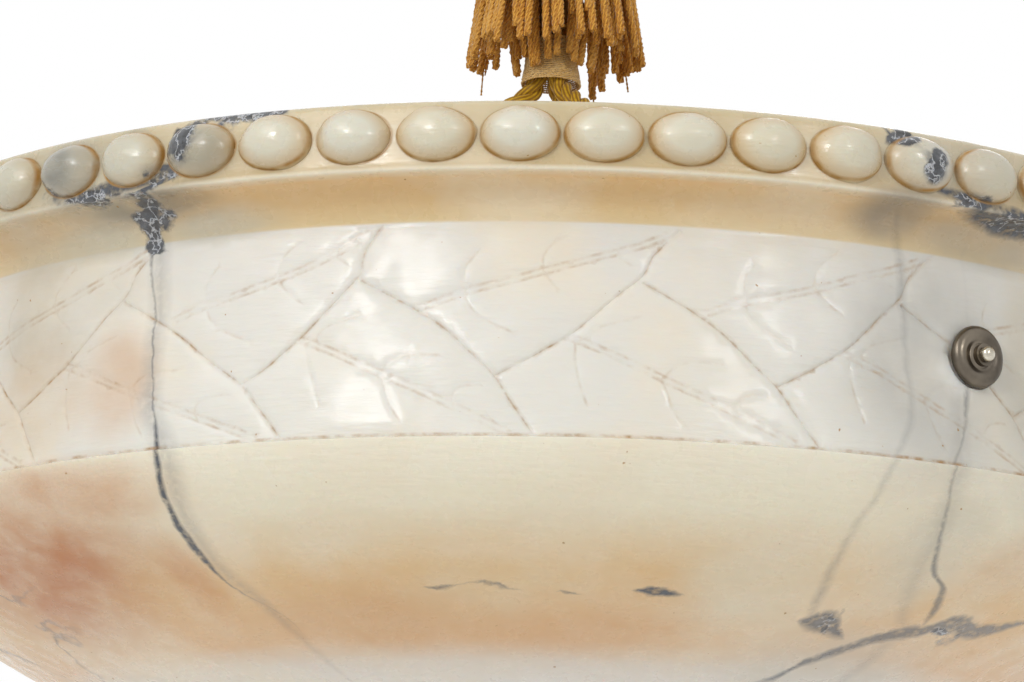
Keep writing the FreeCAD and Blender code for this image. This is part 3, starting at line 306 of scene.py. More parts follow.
@dataclass(frozen=True)
class Moulded(Finish):
    """A plain non-metal: rubber, glazed ceramic or felt, told apart by gloss and grain."""

    colour: str = "#303030"
    shade: str = "#202020"
    gloss: float = 0.5
    coat: float = 0.0
    sheen: float = 0.0
    grain_mm: float = 0.5
    grain_depth_mm: float = 0.05

    def surface(self, tree: bpy.types.NodeTree, shader: bpy.types.Node) -> None:
        """Mottle the colour a little and give it its grain."""
        grain = self.speckle(tree, self.grain_mm, 3.0)
        clouds = self.speckle(tree, 12.0, 2.0)
        mottle = add_node(tree, RANGE, (clouds, 0.35, 0.7)).outputs[0]
        base = add_node(tree, MIX, {0: mottle, 6: linear(self.colour), 7: linear(self.shade)},
                        data_type="RGBA").outputs[2]
        tree.links.new(base, shader.inputs["Base Color"])
        shader.inputs["Roughness"].default_value = self.gloss
        shader.inputs["Coat Weight"].default_value = self.coat
        shader.inputs["Coat Roughness"].default_value = 0.08
        shader.inputs["Sheen Weight"].default_value = self.sheen
        self.bump(tree, shader, grain, self.grain_depth_mm)


@dataclass(frozen=True)
class FrostedGlass(Finish):
    """Blown glass etched inside: milky, so the filament never shows, with a smooth outside."""

    colour: str = "#F2EFE8"

    def surface(self, tree: bpy.types.NodeTree, shader: bpy.types.Node) -> None:
        """Let light through softly, under a smooth coat."""
        haze = self.speckle(tree, 18.0, 2.0)
        rough = add_node(tree, RANGE, (haze, 0.3, 0.7, 0.42, 0.5)).outputs[0]
        tree.links.new(rough, shader.inputs["Roughness"])
        shader.inputs["Base Color"].default_value = linear(self.colour)
        shader.inputs["IOR"].default_value = 1.5
        shader.inputs["Transmission Weight"].default_value = 0.45
        shader.inputs["Coat Weight"].default_value = 0.6
        shader.inputs["Coat Roughness"].default_value = 0.05


@dataclass(frozen=True)
class SpunSilk(Finish):
    """Cord of spun silk: fine threads that slant along each strand, with painted shade in the hollows between
    threads.
    """

    # light is the colour of the threads' crests; dark is painted shade in the hollows between threads.
    light: str = "#C8A24A"
    dark: str = "#6E4A18"
    threads: float = 9.0
    slant_mm: float = 5.0
    sheen: float = 0.5
    fade: str = "#D9BE86"

    def surface(self, tree: bpy.types.NodeTree, shader: bpy.types.Node) -> None:
        """Draw the threads from the strand's own round and along attributes, with painted shade in the
        hollows between them.
        """
        ring = add_node(tree, "ShaderNodeAttribute", attribute_name="ring").outputs["Vector"]
        along = add_node(tree, "ShaderNodeAttribute", attribute_name="along").outputs["Fac"]
        split = add_node(tree, "ShaderNodeSeparateXYZ", (ring,)).outputs
        turn = add_node(tree, MATH, (split[1], split[0]), operation="ARCTAN2").outputs[0]
        slant = add_node(tree, MATH, (along, TURN / (self.slant_mm * MM)), operation="MULTIPLY").outputs[0]
        phase = add_node(tree, MATH, (turn, self.threads, slant), operation="MULTIPLY_ADD").outputs[0]
        wave = add_node(tree, MATH, (phase,), operation="SINE").outputs[0]
        thread = add_node(tree, RANGE, (wave, -1.0, 1.0)).outputs[0]
        fuzz = self.speckle(tree, 1.3, 4.0)
        clouds = self.speckle(tree, 16.0, 2.0)
        rubbed = add_node(tree, RANGE, (fuzz, 0.3, 0.62, 0.35, 1.0)).outputs[0]
        # Painted shade: the thread pattern darkens each hollow between threads towards the dark colour.
        depth = add_node(tree, MATH, (thread, rubbed), operation="MULTIPLY").outputs[0]
        strand = add_node(tree, MIX, {0: depth, 6: linear(self.dark), 7: linear(self.light)},
                          data_type="RGBA").outputs[2]
        fading = add_node(tree, RANGE, (clouds, 0.45, 0.75, 0.0, 0.6)).outputs[0]
        faded = add_node(tree, MIX, {0: fading, 6: strand, 7: linear(self.fade)}, data_type="RGBA").outputs[2]
        tree.links.new(faded, shader.inputs["Base Color"])
        rough = add_node(tree, RANGE, (fuzz, 0.3, 0.7, 0.5, 0.75)).outputs[0]
        tree.links.new(rough, shader.inputs["Roughness"])
        shader.inputs["Sheen Weight"].default_value = self.sheen
        shader.inputs["Sheen Roughness"].default_value = 0.35
        shader.inputs["Specular IOR Level"].default_value = 0.35
        self.bump(tree, shader, depth, 0.25, 0.8)


class Run(Enum):
    """Which way a vein mostly runs over the stone."""

    DOWN = "down"
    ROUND = "round"


@dataclass(frozen=True)
class Vein:
    """A dark vein, followed along the given points: degrees round from the front and millimetres below the
    rim.

    The path's and the widths' first numbers are millimetres down for Run.DOWN, and degrees
    round for Run.ROUND. A width is half the vein's breadth in millimetres.
    """

    run: Run
    path: tuple[Point, ...]
    widths: tuple[Point, ...]
    strength: float = 1.0
    soft: float = 0.7


@dataclass(frozen=True)
class Patch:
    """A soft cloud of colour in the stone: its middle, its half sizes and how strong it is."""

    azimuth: float
    down: float
    half_round: float
    half_down: float
    colour: str
    amount: float


class Stain(Enum):
    """The mesh attributes that carry the stone's large clouds."""

    TINT = "tint"
    MARBLE = "marble"
    WILD = "wild"


@dataclass(frozen=True)
class Alabaster(Finish):
    """Carved and polished alabaster: waxy, cloudy, with grey veins and dirt in the cuts.

    Alabaster scatters light under its skin and takes a low polish, so it looks like old
    ivory where it is smooth, and pearly white where the carved leaves are rubbed.
    """

    veins: tuple[Vein, ...] = ()
    beads: int = 64
    first_bead: float = -41.4
    bead_down: float = 9.7
    bead_half_round: float = 10.3
    bead_half_down: float = 7.5
    fascia_r: float = 226.0
    body_r: float = 215.0
    depth: float = 170.0
    ledge_down: float = 88.2

    def surface(self, tree: bpy.types.NodeTree, shader: bpy.types.Node) -> None:
        """Lay zones of colour with a painted highlight line, painted shade and painted reflection, then
        clouds, beads with painted edge shade, veins, and dirt with painted shade round the beads' feet, over
        each other.
        """
        place = add_node(tree, "ShaderNodeTexCoord").outputs["Object"]
        split = add_node(tree, "ShaderNodeSeparateXYZ", (place,)).outputs
        down = add_node(tree, RANGE, (split[2], RIM_Z, RIM_Z - 0.2, 0.0, 200.0), clamp=False).outputs[0]
        front = add_node(tree, MATH, (split[1], -1.0), operation="MULTIPLY").outputs[0]
        angle = add_node(tree, MATH, (split[0], front), operation="ARCTAN2").outputs[0]
        around = add_node(tree, MATH, (math.degrees(1), angle), operation="MULTIPLY").outputs[0]
        coarse = self.speckle(tree, 14.0, 2.0)
        fine = self.speckle(tree, 2.6, 4.0)
        coarse_off = add_node(tree, MATH, (coarse, 0.5), operation="SUBTRACT").outputs[0]
        fine_off = add_node(tree, MATH, (fine, 0.5), operation="SUBTRACT").outputs[0]
        fine_mm = add_node(tree, MATH, (fine_off, 1.4), operation="MULTIPLY").outputs[0]
        ragged = add_node(tree, MATH, (coarse_off, 2.6, fine_mm), operation="MULTIPLY_ADD").outputs[0]
        tint = add_node(tree, "ShaderNodeAttribute", attribute_name=Stain.TINT.value).outputs
        marble, wild, groove, inner = (
            add_node(tree, "ShaderNodeAttribute", attribute_name=name).outputs["Fac"]
            for name in (Stain.MARBLE.value, Stain.WILD.value, "groove", "inner"))
        outer = add_node(tree, MATH, (1.0, inner), operation="SUBTRACT").outputs[0]
        oval, number = self.bead_oval(tree, around, down)
        near_bead = add_node(tree, RANGE, (oval, 0.97, 1.04, 1.0, 0.0)).outputs[0]
        on_bead = add_node(tree, MATH, (near_bead, outer), operation="MULTIPLY").outputs[0]

        # Colour by depth, with painted highlight, painted shade and painted reflection bands.
        zones = self.zones(tree, down)
        base = add_node(tree, MIX, {0: inner, 6: zones, 7: linear("#E4D7BE")}, data_type="RGBA").outputs[2]
        clouds = add_node(tree, RANGE, (self.speckle(tree, 46.0, 6.0), 0.44, 0.66, 0.0, 0.6)).outputs[0]
        cloudy = add_node(tree, MIX, {0: clouds, 6: base, 7: linear("#EBDDC2")}, data_type="RGBA").outputs[2]
        # Bead colour: cream, with painted shade towards each bead's rounded edge.
        skin = self.bead_tone_and_edge_shade(tree, oval, number)
        beaded = add_node(tree, MIX, {0: on_bead, 6: cloudy, 7: skin}, data_type="RGBA").outputs[2]
        patchy = add_node(tree, RANGE, (self.speckle(tree, 24.0, 6.0), 0.36, 0.6, 0.6, 1.0)).outputs[0]
        amount = add_node(tree, MATH, (tint["Alpha"], patchy), operation="MULTIPLY").outputs[0]
        stained = add_node(tree, MIX, {0: amount, 6: beaded, 7: tint["Color"]}, data_type="RGBA").outputs[2]
        milky = add_node(tree, RANGE, (self.speckle(tree, 18.0, 5.0), 0.5, 0.78, 0.0, 0.12)).outputs[0]
        body = add_node(tree, MIX, {0: milky, 6: stained, 7: linear("#F3EDE2")}, data_type="RGBA").outputs[2]

        plain = add_node(tree, MATH, (1.0, marble), operation="SUBTRACT").outputs[0]
        spared = add_node(tree, MATH, (on_bead, plain), operation="MULTIPLY").outputs[0]
        veinable = add_node(tree, MATH, (1.0, spared), operation="SUBTRACT").outputs[0]
        followed = self.all_veins(tree, around, down, ragged, fine)
        veins = add_node(tree, MATH, (followed, veinable), operation="MULTIPLY").outputs[0]
        net = self.network(tree, marble, wild, coarse)
        drift = add_node(tree, MATH, (self.speckle(tree, 3.6, 5.0), 0.5), operation="SUBTRACT").outputs[0]
        thread = add_node(tree, MATH, (drift,), operation="ABSOLUTE").outputs[0]
        pale = add_node(tree, RANGE, (thread, 0.0, 0.035, 0.85, 0.0)).outputs[0]
        white = add_node(tree, MATH, (pale, net), operation="MULTIPLY").outputs[0]
        greyness = add_node(tree, RANGE, (fine, 0.38, 0.7)).outputs[0]
        dark = add_node(tree, MIX, {0: greyness, 6: linear("#272B33"), 7: linear("#5F636A")},
                        data_type="RGBA").outputs[2]
        threaded = add_node(tree, MIX, {0: white, 6: dark, 7: linear("#D3D6DB")}, data_type="RGBA").outputs[2]
        darkness = add_node(tree, MATH, (veins, net), operation="MAXIMUM").outputs[0]
        veined = add_node(tree, MIX, {0: darkness, 6: body, 7: threaded}, data_type="RGBA").outputs[2]
        # Brown marks: dirt in the cuts and specks, and dirt with painted shade round each bead's foot.
        dirt_and_foot_shade = self.dirt(tree, oval, down, groove, fine)
        dirt = add_node(tree, MATH, (dirt_and_foot_shade, outer), operation="MULTIPLY").outputs[0]
        dirt_and_shade_coloured = add_node(tree, MIX, {0: dirt, 6: veined, 7: linear("#A87C38")}, data_type="RGBA").outputs[2]
        tree.links.new(dirt_and_shade_coloured, shader.inputs["Base Color"])

        rubbed = add_node(tree, RANGE, (self.speckle(tree, 6.0, 5.0), 0.35, 0.65, 0.2, 0.4)).outputs[0]
        below_cove = add_node(tree, RANGE, (down, 28.5, 30.5)).outputs[0]
        above_ledge = add_node(tree, RANGE, (down, 87.5, 89.0, 1.0, 0.0)).outputs[0]
        carved = add_node(tree, MATH, (below_cove, above_ledge), operation="MULTIPLY").outputs[0]
        matt = add_node(tree, MATH, (carved, 0.16, rubbed), operation="MULTIPLY_ADD").outputs[0]
        rough = add_node(tree, MATH, (dirt, 0.4, matt), operation="MULTIPLY_ADD").outputs[0]
        tree.links.new(rough, shader.inputs["Roughness"])
        for name, value in (("IOR", 1.52), ("Subsurface Weight", 0.35),
                            ("Subsurface Radius", (1.0, 0.66, 0.4)), ("Subsurface Scale", 0.006),
                            ("Coat Weight", 0.2), ("Coat Roughness", 0.16)):
            shader.inputs[name].default_value = value
        drawn_out = add_node(tree, "ShaderNodeMapping", {
            "Vector": place, "Scale": (1.0, 1.0, 6.0)}).outputs[0]
        scratch = add_node(tree, "ShaderNodeTexNoise", {
            "Vector": drawn_out, "Scale": 1 / (9 * MM), "Detail": 6.0}).outputs["Fac"]
        self.bump(tree, shader, scratch, 0.3, 0.7)

    def zones(self, tree: bpy.types.NodeTree, down: bpy.types.NodeSocket) -> bpy.types.NodeSocket:
        """Return the stone's colour by its height: fascia, a painted highlight line along the lip, cove, leaf
        band, and the body, tan in its middle partly as painted shade and pale grey at the bottom as painted
        reflection of the floor.
        """
        # Depths in mm: 18.7 to 19.4 is a painted highlight line along the lip; 118 to 133 the body's tan,
        # partly stone tone and partly painted shade; 138 down the pale grey of a painted reflection of the
        # floor.
        stops = (
            (0.0, "#C8BC9C"), (2.0, "#CAB992"), (18.4, "#CBB58A"), (18.7, "#EADFC8"), (19.4, "#EADFC8"),
            (19.9, "#E6BF86"), (24.0, "#DDBB84"), (29.35, "#DEC798"), (29.75, "#E0DDD5"), (88.3, "#E2DFD5"),
            (88.7, "#F1EBD8"), (104.0, "#EFE6CC"), (118.0, "#E2BE88"), (133.0, "#E0B888"), (138.0, "#E2D6C6"),
            (144.0, "#E8E4DC"), (170.0, "#E2DACC"))
        share = add_node(tree, MATH, (down, self.depth), operation="DIVIDE").outputs[0]
        node = add_node(tree, "ShaderNodeValToRGB", {"Fac": share})
        ramp = node.color_ramp
        for height, colour in stops[1:-1]:
            ramp.elements.new(height / self.depth).color = linear(colour)
        ramp.elements[0].color = linear(stops[0][1])
        ramp.elements[-1].color = linear(stops[-1][1])
        return node.outputs["Color"]

    def follow(self, tree: bpy.types.NodeTree, along: bpy.types.NodeSocket,
               points: Sequence[Point], low: float, high: float) -> bpy.types.NodeSocket:
        """Return a smooth curve through points.

        Args:
            tree: the material's tree.
            along: the coordinate that the points' first numbers are in.
            points: pairs of along and value.
            low: the lowest value.
            high: the highest value.

        Returns:
            The curve's value at each place.
        """
        first, last = points[0][0], points[-1][0]
        share = add_node(tree, RANGE, (along, first, last)).outputs[0]
        node = add_node(tree, "ShaderNodeFloatCurve", {"Value": share})
        curve = node.mapping.curves[0]
        curve.points[0].location = (0.0, (points[0][1] - low) / (high - low))
        curve.points[1].location = (1.0, (points[-1][1] - low) / (high - low))
        for place, value in points[1:-1]:
            curve.points.new((place - first) / (last - first), (value - low) / (high - low))
        node.mapping.update()
        return add_node(tree, RANGE, (node.outputs[0], 0.0, 1.0, low, high), clamp=False).outputs[0]

    def vein(self, tree: bpy.types.NodeTree, vein: Vein, around: bpy.types.NodeSocket,
             down: bpy.types.NodeSocket, ragged: bpy.types.NodeSocket) -> bpy.types.NodeSocket:
        """Return one vein's darkness from 0 to 1."""
        degree_mm = TURN * self.body_r / 360
        along, across, scale = (down, around, degree_mm) if vein.run is Run.DOWN else (around, down, 1.0)
        values = [value for _, value in vein.path]
        middle = self.follow(tree, along, vein.path, min(values) - 1, max(values) + 1)
        off = add_node(tree, MATH, (across, middle), operation="SUBTRACT").outputs[0]
        off_mm = add_node(tree, MATH, (off, scale, ragged), operation="MULTIPLY_ADD").outputs[0]
        width = self.follow(tree, along, vein.widths, -6.0, 14.0)
        away = add_node(tree, MATH, (off_mm,), operation="ABSOLUTE").outputs[0]
        inside = add_node(tree, MATH, (width, away), operation="SUBTRACT").outputs[0]
        return add_node(tree, RANGE, (inside, -vein.soft, vein.soft, 0.0, vein.strength)).outputs[0]

    def all_veins(self, tree: bpy.types.NodeTree, around: bpy.types.NodeSocket, down: bpy.types.NodeSocket,
                  ragged: bpy.types.NodeSocket, fine: bpy.types.NodeSocket) -> bpy.types.NodeSocket:
        """Return the darkest of the followed veins, broken up along their length."""
        dark = self.vein(tree, self.veins[0], around, down, ragged)
        for vein in self.veins[1:]:
            one = self.vein(tree, vein, around, down, ragged)
            dark = add_node(tree, MATH, (dark, one), operation="MAXIMUM").outputs[0]
        broken = add_node(tree, RANGE, (fine, 0.3, 0.52, 0.45, 1.0)).outputs[0]
        return add_node(tree, MATH, (dark, broken), operation="MULTIPLY").outputs[0]

    def bead_oval(self, tree: bpy.types.NodeTree, around: bpy.types.NodeSocket,
                  down: bpy.types.NodeSocket) -> tuple[bpy.types.NodeSocket, bpy.types.NodeSocket]:
        """Return how far a place is from its bead's middle, 1 at the bead's foot, and the bead's number."""
        pitch = 360 / self.beads
        widths = pitch * TURN * self.fascia_r / 360 / self.bead_half_round
        past = add_node(tree, MATH, (around, self.first_bead - pitch / 2), operation="SUBTRACT").outputs[0]
        share = add_node(tree, MATH, (past, pitch), operation="DIVIDE").outputs[0]
        turns = add_node(tree, MATH, (float(self.beads), share), operation="ADD").outputs[0]
        part = add_node(tree, MATH, (turns,), operation="FRACT").outputs[0]
        local = add_node(tree, MATH, (part, 0.5), operation="SUBTRACT").outputs[0]
        across = add_node(tree, MATH, (local, widths), operation="MULTIPLY").outputs[0]
        below = add_node(tree, MATH, (down, self.bead_down), operation="SUBTRACT").outputs[0]
        upright = add_node(tree, MATH, (below, self.bead_half_down), operation="DIVIDE").outputs[0]
        squared = add_node(tree, MATH, (upright, upright), operation="MULTIPLY").outputs[0]
        both = add_node(tree, MATH, (across, across, squared), operation="MULTIPLY_ADD").outputs[0]
        away = add_node(tree, MATH, (both,), operation="SQRT").outputs[0]
        return away, add_node(tree, MATH, (turns,), operation="FLOOR").outputs[0]

    def bead_tone_and_edge_shade(self, tree: bpy.types.NodeTree, oval: bpy.types.NodeSocket,
                  number: bpy.types.NodeSocket) -> bpy.types.NodeSocket:
        """Return a bead's colour: creamy in the middle and orange-tan towards its edge as painted shade of
        its rounded side, each a little its own.
        """
        own = add_node(tree, "ShaderNodeTexWhiteNoise", {"W": number}, noise_dimensions="1D").outputs["Value"]
        share = add_node(tree, MATH, (own, 0.6), operation="MULTIPLY").outputs[0]
        heart = add_node(tree, MIX, {0: share, 6: linear("#D8D5C4"), 7: linear("#D6CBAC")},
                         data_type="RGBA").outputs[2]
        # Painted shade: orange-tan towards the bead's edge.
        bead_edge_shade = add_node(tree, RANGE, (oval, 0.55, 1.06, 0.0, 0.85)).outputs[0]
        return add_node(tree, MIX, {0: bead_edge_shade, 6: heart, 7: linear("#C9A772")}, data_type="RGBA").outputs[2]

    def network(self, tree: bpy.types.NodeTree, marble: bpy.types.NodeSocket, wild: bpy.types.NodeSocket,
                coarse: bpy.types.NodeSocket) -> bpy.types.NodeSocket:
        """Return the marbling of the dark places, and wandering veins where none is followed."""
        flecks = add_node(tree, MATH, (self.speckle(tree, 4.5, 5.0), 0.5), operation="SUBTRACT").outputs[0]
        coarse_off = add_node(tree, MATH, (coarse, 0.5), operation="SUBTRACT").outputs[0]
        uneven = add_node(tree, MATH, (flecks, 1.8, coarse_off), operation="MULTIPLY_ADD").outputs[0]
        edge = add_node(tree, RANGE, (marble, 0.05, 0.3)).outputs[0]
        broken = add_node(tree, MATH, (marble, uneven), operation="ADD").outputs[0]
        crazing = add_node(tree, RANGE, (broken, 0.3, 0.6, 0.0, 0.95)).outputs[0]
        crazed = add_node(tree, MATH, (edge, crazing), operation="MULTIPLY").outputs[0]
        drift = add_node(tree, MATH, (self.speckle(tree, 70.0, 5.0), 0.52), operation="SUBTRACT").outputs[0]
        line = add_node(tree, MATH, (drift,), operation="ABSOLUTE").outputs[0]
        where = add_node(tree, RANGE, (self.speckle(tree, 120.0, 1.0), 0.46, 0.6)).outputs[0]
        drawn = add_node(tree, RANGE, (line, 0.0, 0.012, 0.8, 0.0)).outputs[0]
        wandering = add_node(tree, MATH, (drawn, where), operation="MULTIPLY").outputs[0]
        unseen = add_node(tree, MATH, (wandering, wild), operation="MULTIPLY").outputs[0]
        return add_node(tree, MATH, (crazed, unseen), operation="MAXIMUM").outputs[0]

    def dirt(self, tree: bpy.types.NodeTree, oval: bpy.types.NodeSocket, down: bpy.types.NodeSocket,
             groove: bpy.types.NodeSocket, fine: bpy.types.NodeSocket) -> bpy.types.NodeSocket:
        """Return brown marks: dirt in the cuts and in small specks, dirt and painted shade round each bead's
        foot, and a line along the ledge.
        """
        # Round each bead's foot: dirt and painted shade where the bead meets the fascia.
        off_foot = add_node(tree, MATH, (oval, 1.0), operation="SUBTRACT").outputs[0]
        from_foot = add_node(tree, MATH, (off_foot,), operation="ABSOLUTE").outputs[0]
        ring = add_node(tree, RANGE, (from_foot, 0.01, 0.07, 1.0, 0.0)).outputs[0]
        off_ledge = add_node(tree, MATH, (down, self.ledge_down), operation="SUBTRACT").outputs[0]
        from_ledge = add_node(tree, MATH, (off_ledge,), operation="ABSOLUTE").outputs[0]
        ledge = add_node(tree, RANGE, (from_ledge, 0.2, 0.8, 0.8, 0.0)).outputs[0]
        cut = add_node(tree, MATH, (groove, 0.85), operation="MULTIPLY").outputs[0]
        streak = self.speckle(tree, 5.0, 6.0)
        streaky = add_node(tree, RANGE, (streak, 0.38, 0.66)).outputs[0]
        grainy = add_node(tree, RANGE, (fine, 0.3, 0.6)).outputs[0]
        patchy = add_node(tree, MATH, (streaky, grainy), operation="MULTIPLY").outputs[0]
        hollow = add_node(tree, MATH, (ledge, cut), operation="MAXIMUM").outputs[0]
        held = add_node(tree, MATH, (hollow, patchy), operation="MULTIPLY").outputs[0]
        spread = add_node(tree, RANGE, (streak, 0.3, 0.6, 0.35, 1.0)).outputs[0]
        # Dirt and painted shade at the bead's foot, spread unevenly.
        foot = add_node(tree, MATH, (ring, spread), operation="MULTIPLY").outputs[0]
        specks = add_node(tree, RANGE, (self.speckle(tree, 2.2, 1.0), 0.79, 0.82, 0.0, 0.8)).outputs[0]
        most = add_node(tree, MATH, (held, foot), operation="MAXIMUM").outputs[0]
        return add_node(tree, MATH, (most, specks), operation="MAXIMUM").outputs[0]


DOWN_VEINS = (
    Vein(Run.DOWN, ((0.0, -22.6), (9.2, -24.4), (16.7, -27.3), (20.7, -29.8), (29.7, -30.9), (45.9, -30.3),
                    (74.5, -29.5), (88.9, -28.7), (98.4, -29.3), (108.7, -29.6), (117.0, -29.2),
                    (121.6, -28.2), (128.7, -25.3), (134.9, -24.6), (150.0, -24.0)),
         ((0.0, 0.8), (9.0, 1.2), (16.0, 1.8), (24.0, 2.4), (30.0, 0.5), (45.0, 0.1), (60.0, 0.3),
          (74.0, 0.25), (88.0, 0.8), (104.0, 1.1), (113.0, 1.3), (119.0, 0.3), (130.0, -0.3), (150.0, -3.0))),
    Vein(Run.DOWN, ((29.7, -30.2), (45.9, -29.8), (74.5, -29.8), (90.0, -28.0), (112.0, -28.6),
                    (124.0, -26.8), (150.0, -22.0)),
         ((29.7, 2.0), (60.0, 2.2), (88.0, 3.0), (112.0, 2.0), (128.0, 1.6), (150.0, -6.0)), 0.3, 2.6),
    Vein(Run.DOWN, ((0.0, 23.6), (6.1, 25.1), (10.9, 26.6), (16.5, 28.2), (20.0, 30.5)),
         ((0.0, 0.4), (6.0, 1.4), (14.0, 2.2), (20.0, -4.0))),
    Vein(Run.DOWN, ((18.0, 24.3), (27.0, 26.3), (35.5, 26.8), (60.8, 27.0), (71.9, 27.2), (83.3, 26.4),
                    (89.8, 25.4), (96.8, 25.0), (108.4, 24.4), (119.5, 25.1), (130.0, 26.4)),
         ((18.0, -4.0), (24.0, 0.2), (60.0, 0.1), (88.0, 0.2), (100.0, 0.4), (112.0, 0.9), (121.0, 1.6),
          (130.0, -4.0)), 0.35, 1.6),
    Vein(Run.DOWN, ((56.0, 33.2), (66.7, 32.3), (81.2, 31.5), (89.9, 30.7), (97.1, 31.2), (106.2, 32.4),
                    (112.7, 34.2), (117.6, 37.3), (126.0, 38.9)),
         ((56.0, -3.0), (64.0, 0.3), (80.0, 0.2), (90.0, 0.25), (104.0, 0.6), (114.0, 1.2), (121.0, 1.5),
          (126.0, -4.0)), 0.7, 0.9),
    Vein(Run.DOWN, ((56.0, 32.6), (80.0, 31.2), (104.0, 31.8), (126.0, 37.0)),
         ((56.0, -2.0), (70.0, 1.4), (100.0, 2.2), (126.0, 2.4)), 0.2, 3.0),
)
ROUND_VEINS = (
    Vein(Run.ROUND, ((-39.0, 20.5), (-35.0, 18.6), (-29.0, 15.0), (-24.0, 13.0), (-22.0, 12.0)),
         ((-39.0, -4.0), (-35.0, 0.6), (-27.0, 2.2), (-22.0, -4.0))),
    Vein(Run.ROUND, ((25.0, 17.0), (28.0, 16.4), (30.3, 17.2), (32.9, 19.0), (36.8, 20.6), (42.0, 23.0)),
         ((25.0, -4.0), (28.5, 1.2), (32.0, 2.2), (37.0, 1.4), (42.0, -4.0))),
    Vein(Run.ROUND, ((23.5, 141.0), (27.5, 139.6), (29.3, 135.9), (31.9, 132.4), (35.4, 128.3), (39.6, 125.6),
                     (42.0, 123.2), (45.4, 124.3), (48.6, 122.3), (52.0, 119.0), (60.0, 116.0)),
         ((23.5, -4.0), (27.5, 0.6), (33.0, 1.1), (38.0, 1.5), (43.0, 1.8), (48.0, 1.5), (60.0, -4.0)), 0.8),
    Vein(Run.ROUND, ((23.5, 126.4), (27.7, 126.2), (30.0, 128.1), (33.4, 131.8)),
         ((23.5, -4.0), (26.0, 1.2), (30.0, 1.0), (33.4, -4.0)), 0.85),
    Vein(Run.ROUND, ((-13.0, 120.8), (-8.6, 121.9), (-5.7, 121.4), (-2.4, 122.2), (2.4, 122.9), (5.3, 123.8)),
         ((-13.0, -4.0), (-10.0, 0.1), (-7.0, -0.2), (-4.0, 0.15), (0.0, -0.6), (3.0, 0.0), (5.3, -4.0)),
         1.0, 0.4),
    Vein(Run.ROUND, ((6.0, 121.9), (7.9, 122.1), (10.8, 122.2), (13.0, 122.6), (15.5, 123.2)),
         ((6.0, -4.0), (8.5, 0.4), (12.0, 0.2), (15.5, -4.0)), 1.0, 0.4),
)

PATCHES = (
    Patch(-50.0, 109.0, 17.0, 20.0, "#BC7430", 1.0),
    Patch(-32.0, 118.0, 3.0, 9.0, "#C98845", 0.6),
    Patch(-40.0, 98.0, 12.0, 10.0, "#CF9A66", 0.7),
    Patch(-27.0, 110.0, 3.5, 12.0, "#EFE4CE", 0.5),
    Patch(-33.4, 68.0, 4.0, 16.0, "#CC9F72", 0.6),
    Patch(-41.0, 70.0, 8.0, 16.0, "#D9B992", 0.6),
    Patch(-42.0, 50.0, 6.0, 34.0, "#BDB19A", 0.7),
    Patch(-38.0, 42.0, 9.0, 9.0, "#CFC9BB", 0.5),
    Patch(-16.0, 128.0, 12.0, 8.0, "#D2A26B", 0.5),
    Patch(4.0, 131.0, 16.0, 6.0, "#D9A873", 0.5),
    Patch(42.0, 108.0, 6.0, 10.0, "#CFA067", 0.5),
    Patch(-5.0, 122.0, 8.0, 7.0, "#E4D3B0", 0.5),
    Patch(18.0, 120.0, 7.0, 10.0, "#E4DCC4", 0.6),
    Patch(33.0, 108.0, 5.0, 14.0, "#D3CCB8", 0.6),
    Patch(34.0, 137.0, 14.0, 10.0, "#CFC9BC", 0.7),
    Patch(-39.0, 10.0, 14.0, 14.0, "#B5AE96", 0.75),
    Patch(-36.0, 27.0, 6.0, 6.0, "#C9C2AD", 0.8),
    Patch(-25.0, 27.0, 5.5, 5.0, "#C4BFAE", 0.8),
    Patch(-30.5, 21.0, 6.5, 4.0, "#77736A", 0.8),
    Patch(25.5, 22.0, 3.6, 7.0, "#93897A", 0.8),
    Patch(34.0, 25.0, 8.0, 6.0, "#B4AA96", 0.85),
    Patch(30.0, 8.0, 9.0, 10.0, "#BFB9A8", 0.7),
    Patch(-36.0, 9.7, 2.6, 9.0, "#5F646B", 1.0),
    Patch(-24.0, 10.5, 2.4, 8.0, "#8A806A", 0.8),
    Patch(27.2, 9.0, 1.6, 7.5, "#C6C4BE", 0.9),
    Patch(29.0, 62.0, 8.0, 34.0, "#B9B7B0", 0.75),
    Patch(41.0, 66.0, 8.0, 34.0, "#BAB3A2", 0.75),
    Patch(30.9, 62.5, 1.5, 3.4, "#FBFBF9", 1.0),
    Patch(31.6, 66.4, 1.0, 2.2, "#FBFBF9", 1.0),
)
MARBLED = (
    Patch(-37.2, 13.5, 1.4, 4.0, "#000000", 0.5),
    Patch(-25.6, 7.5, 1.5, 7.0, "#000000", 1.0),
    Patch(-33.8, 18.2, 3.4, 2.0, "#000000", 0.7),
    Patch(-27.6, 16.4, 1.4, 3.6, "#000000", 0.8),
    Patch(-30.2, 23.6, 2.0, 5.0, "#000000", 1.0),
    Patch(-30.5, 29.5, 1.2, 3.0, "#000000", 0.8),
    Patch(-21.0, 0.8, 3.6, 2.6, "#000000", 0.8),
    Patch(24.8, 3.0, 1.0, 3.5, "#000000", 0.9),
    Patch(26.6, 10.5, 1.1, 5.0, "#000000", 0.9),
    Patch(30.4, 17.6, 2.0, 2.4, "#000000", 0.9),
    Patch(35.0, 20.2, 3.0, 1.6, "#000000", 0.7),
    Patch(28.0, 127.0, 2.0, 2.6, "#000000", 0.7),
    Patch(42.5, 123.8, 3.4, 2.2, "#000000", 0.7),
)

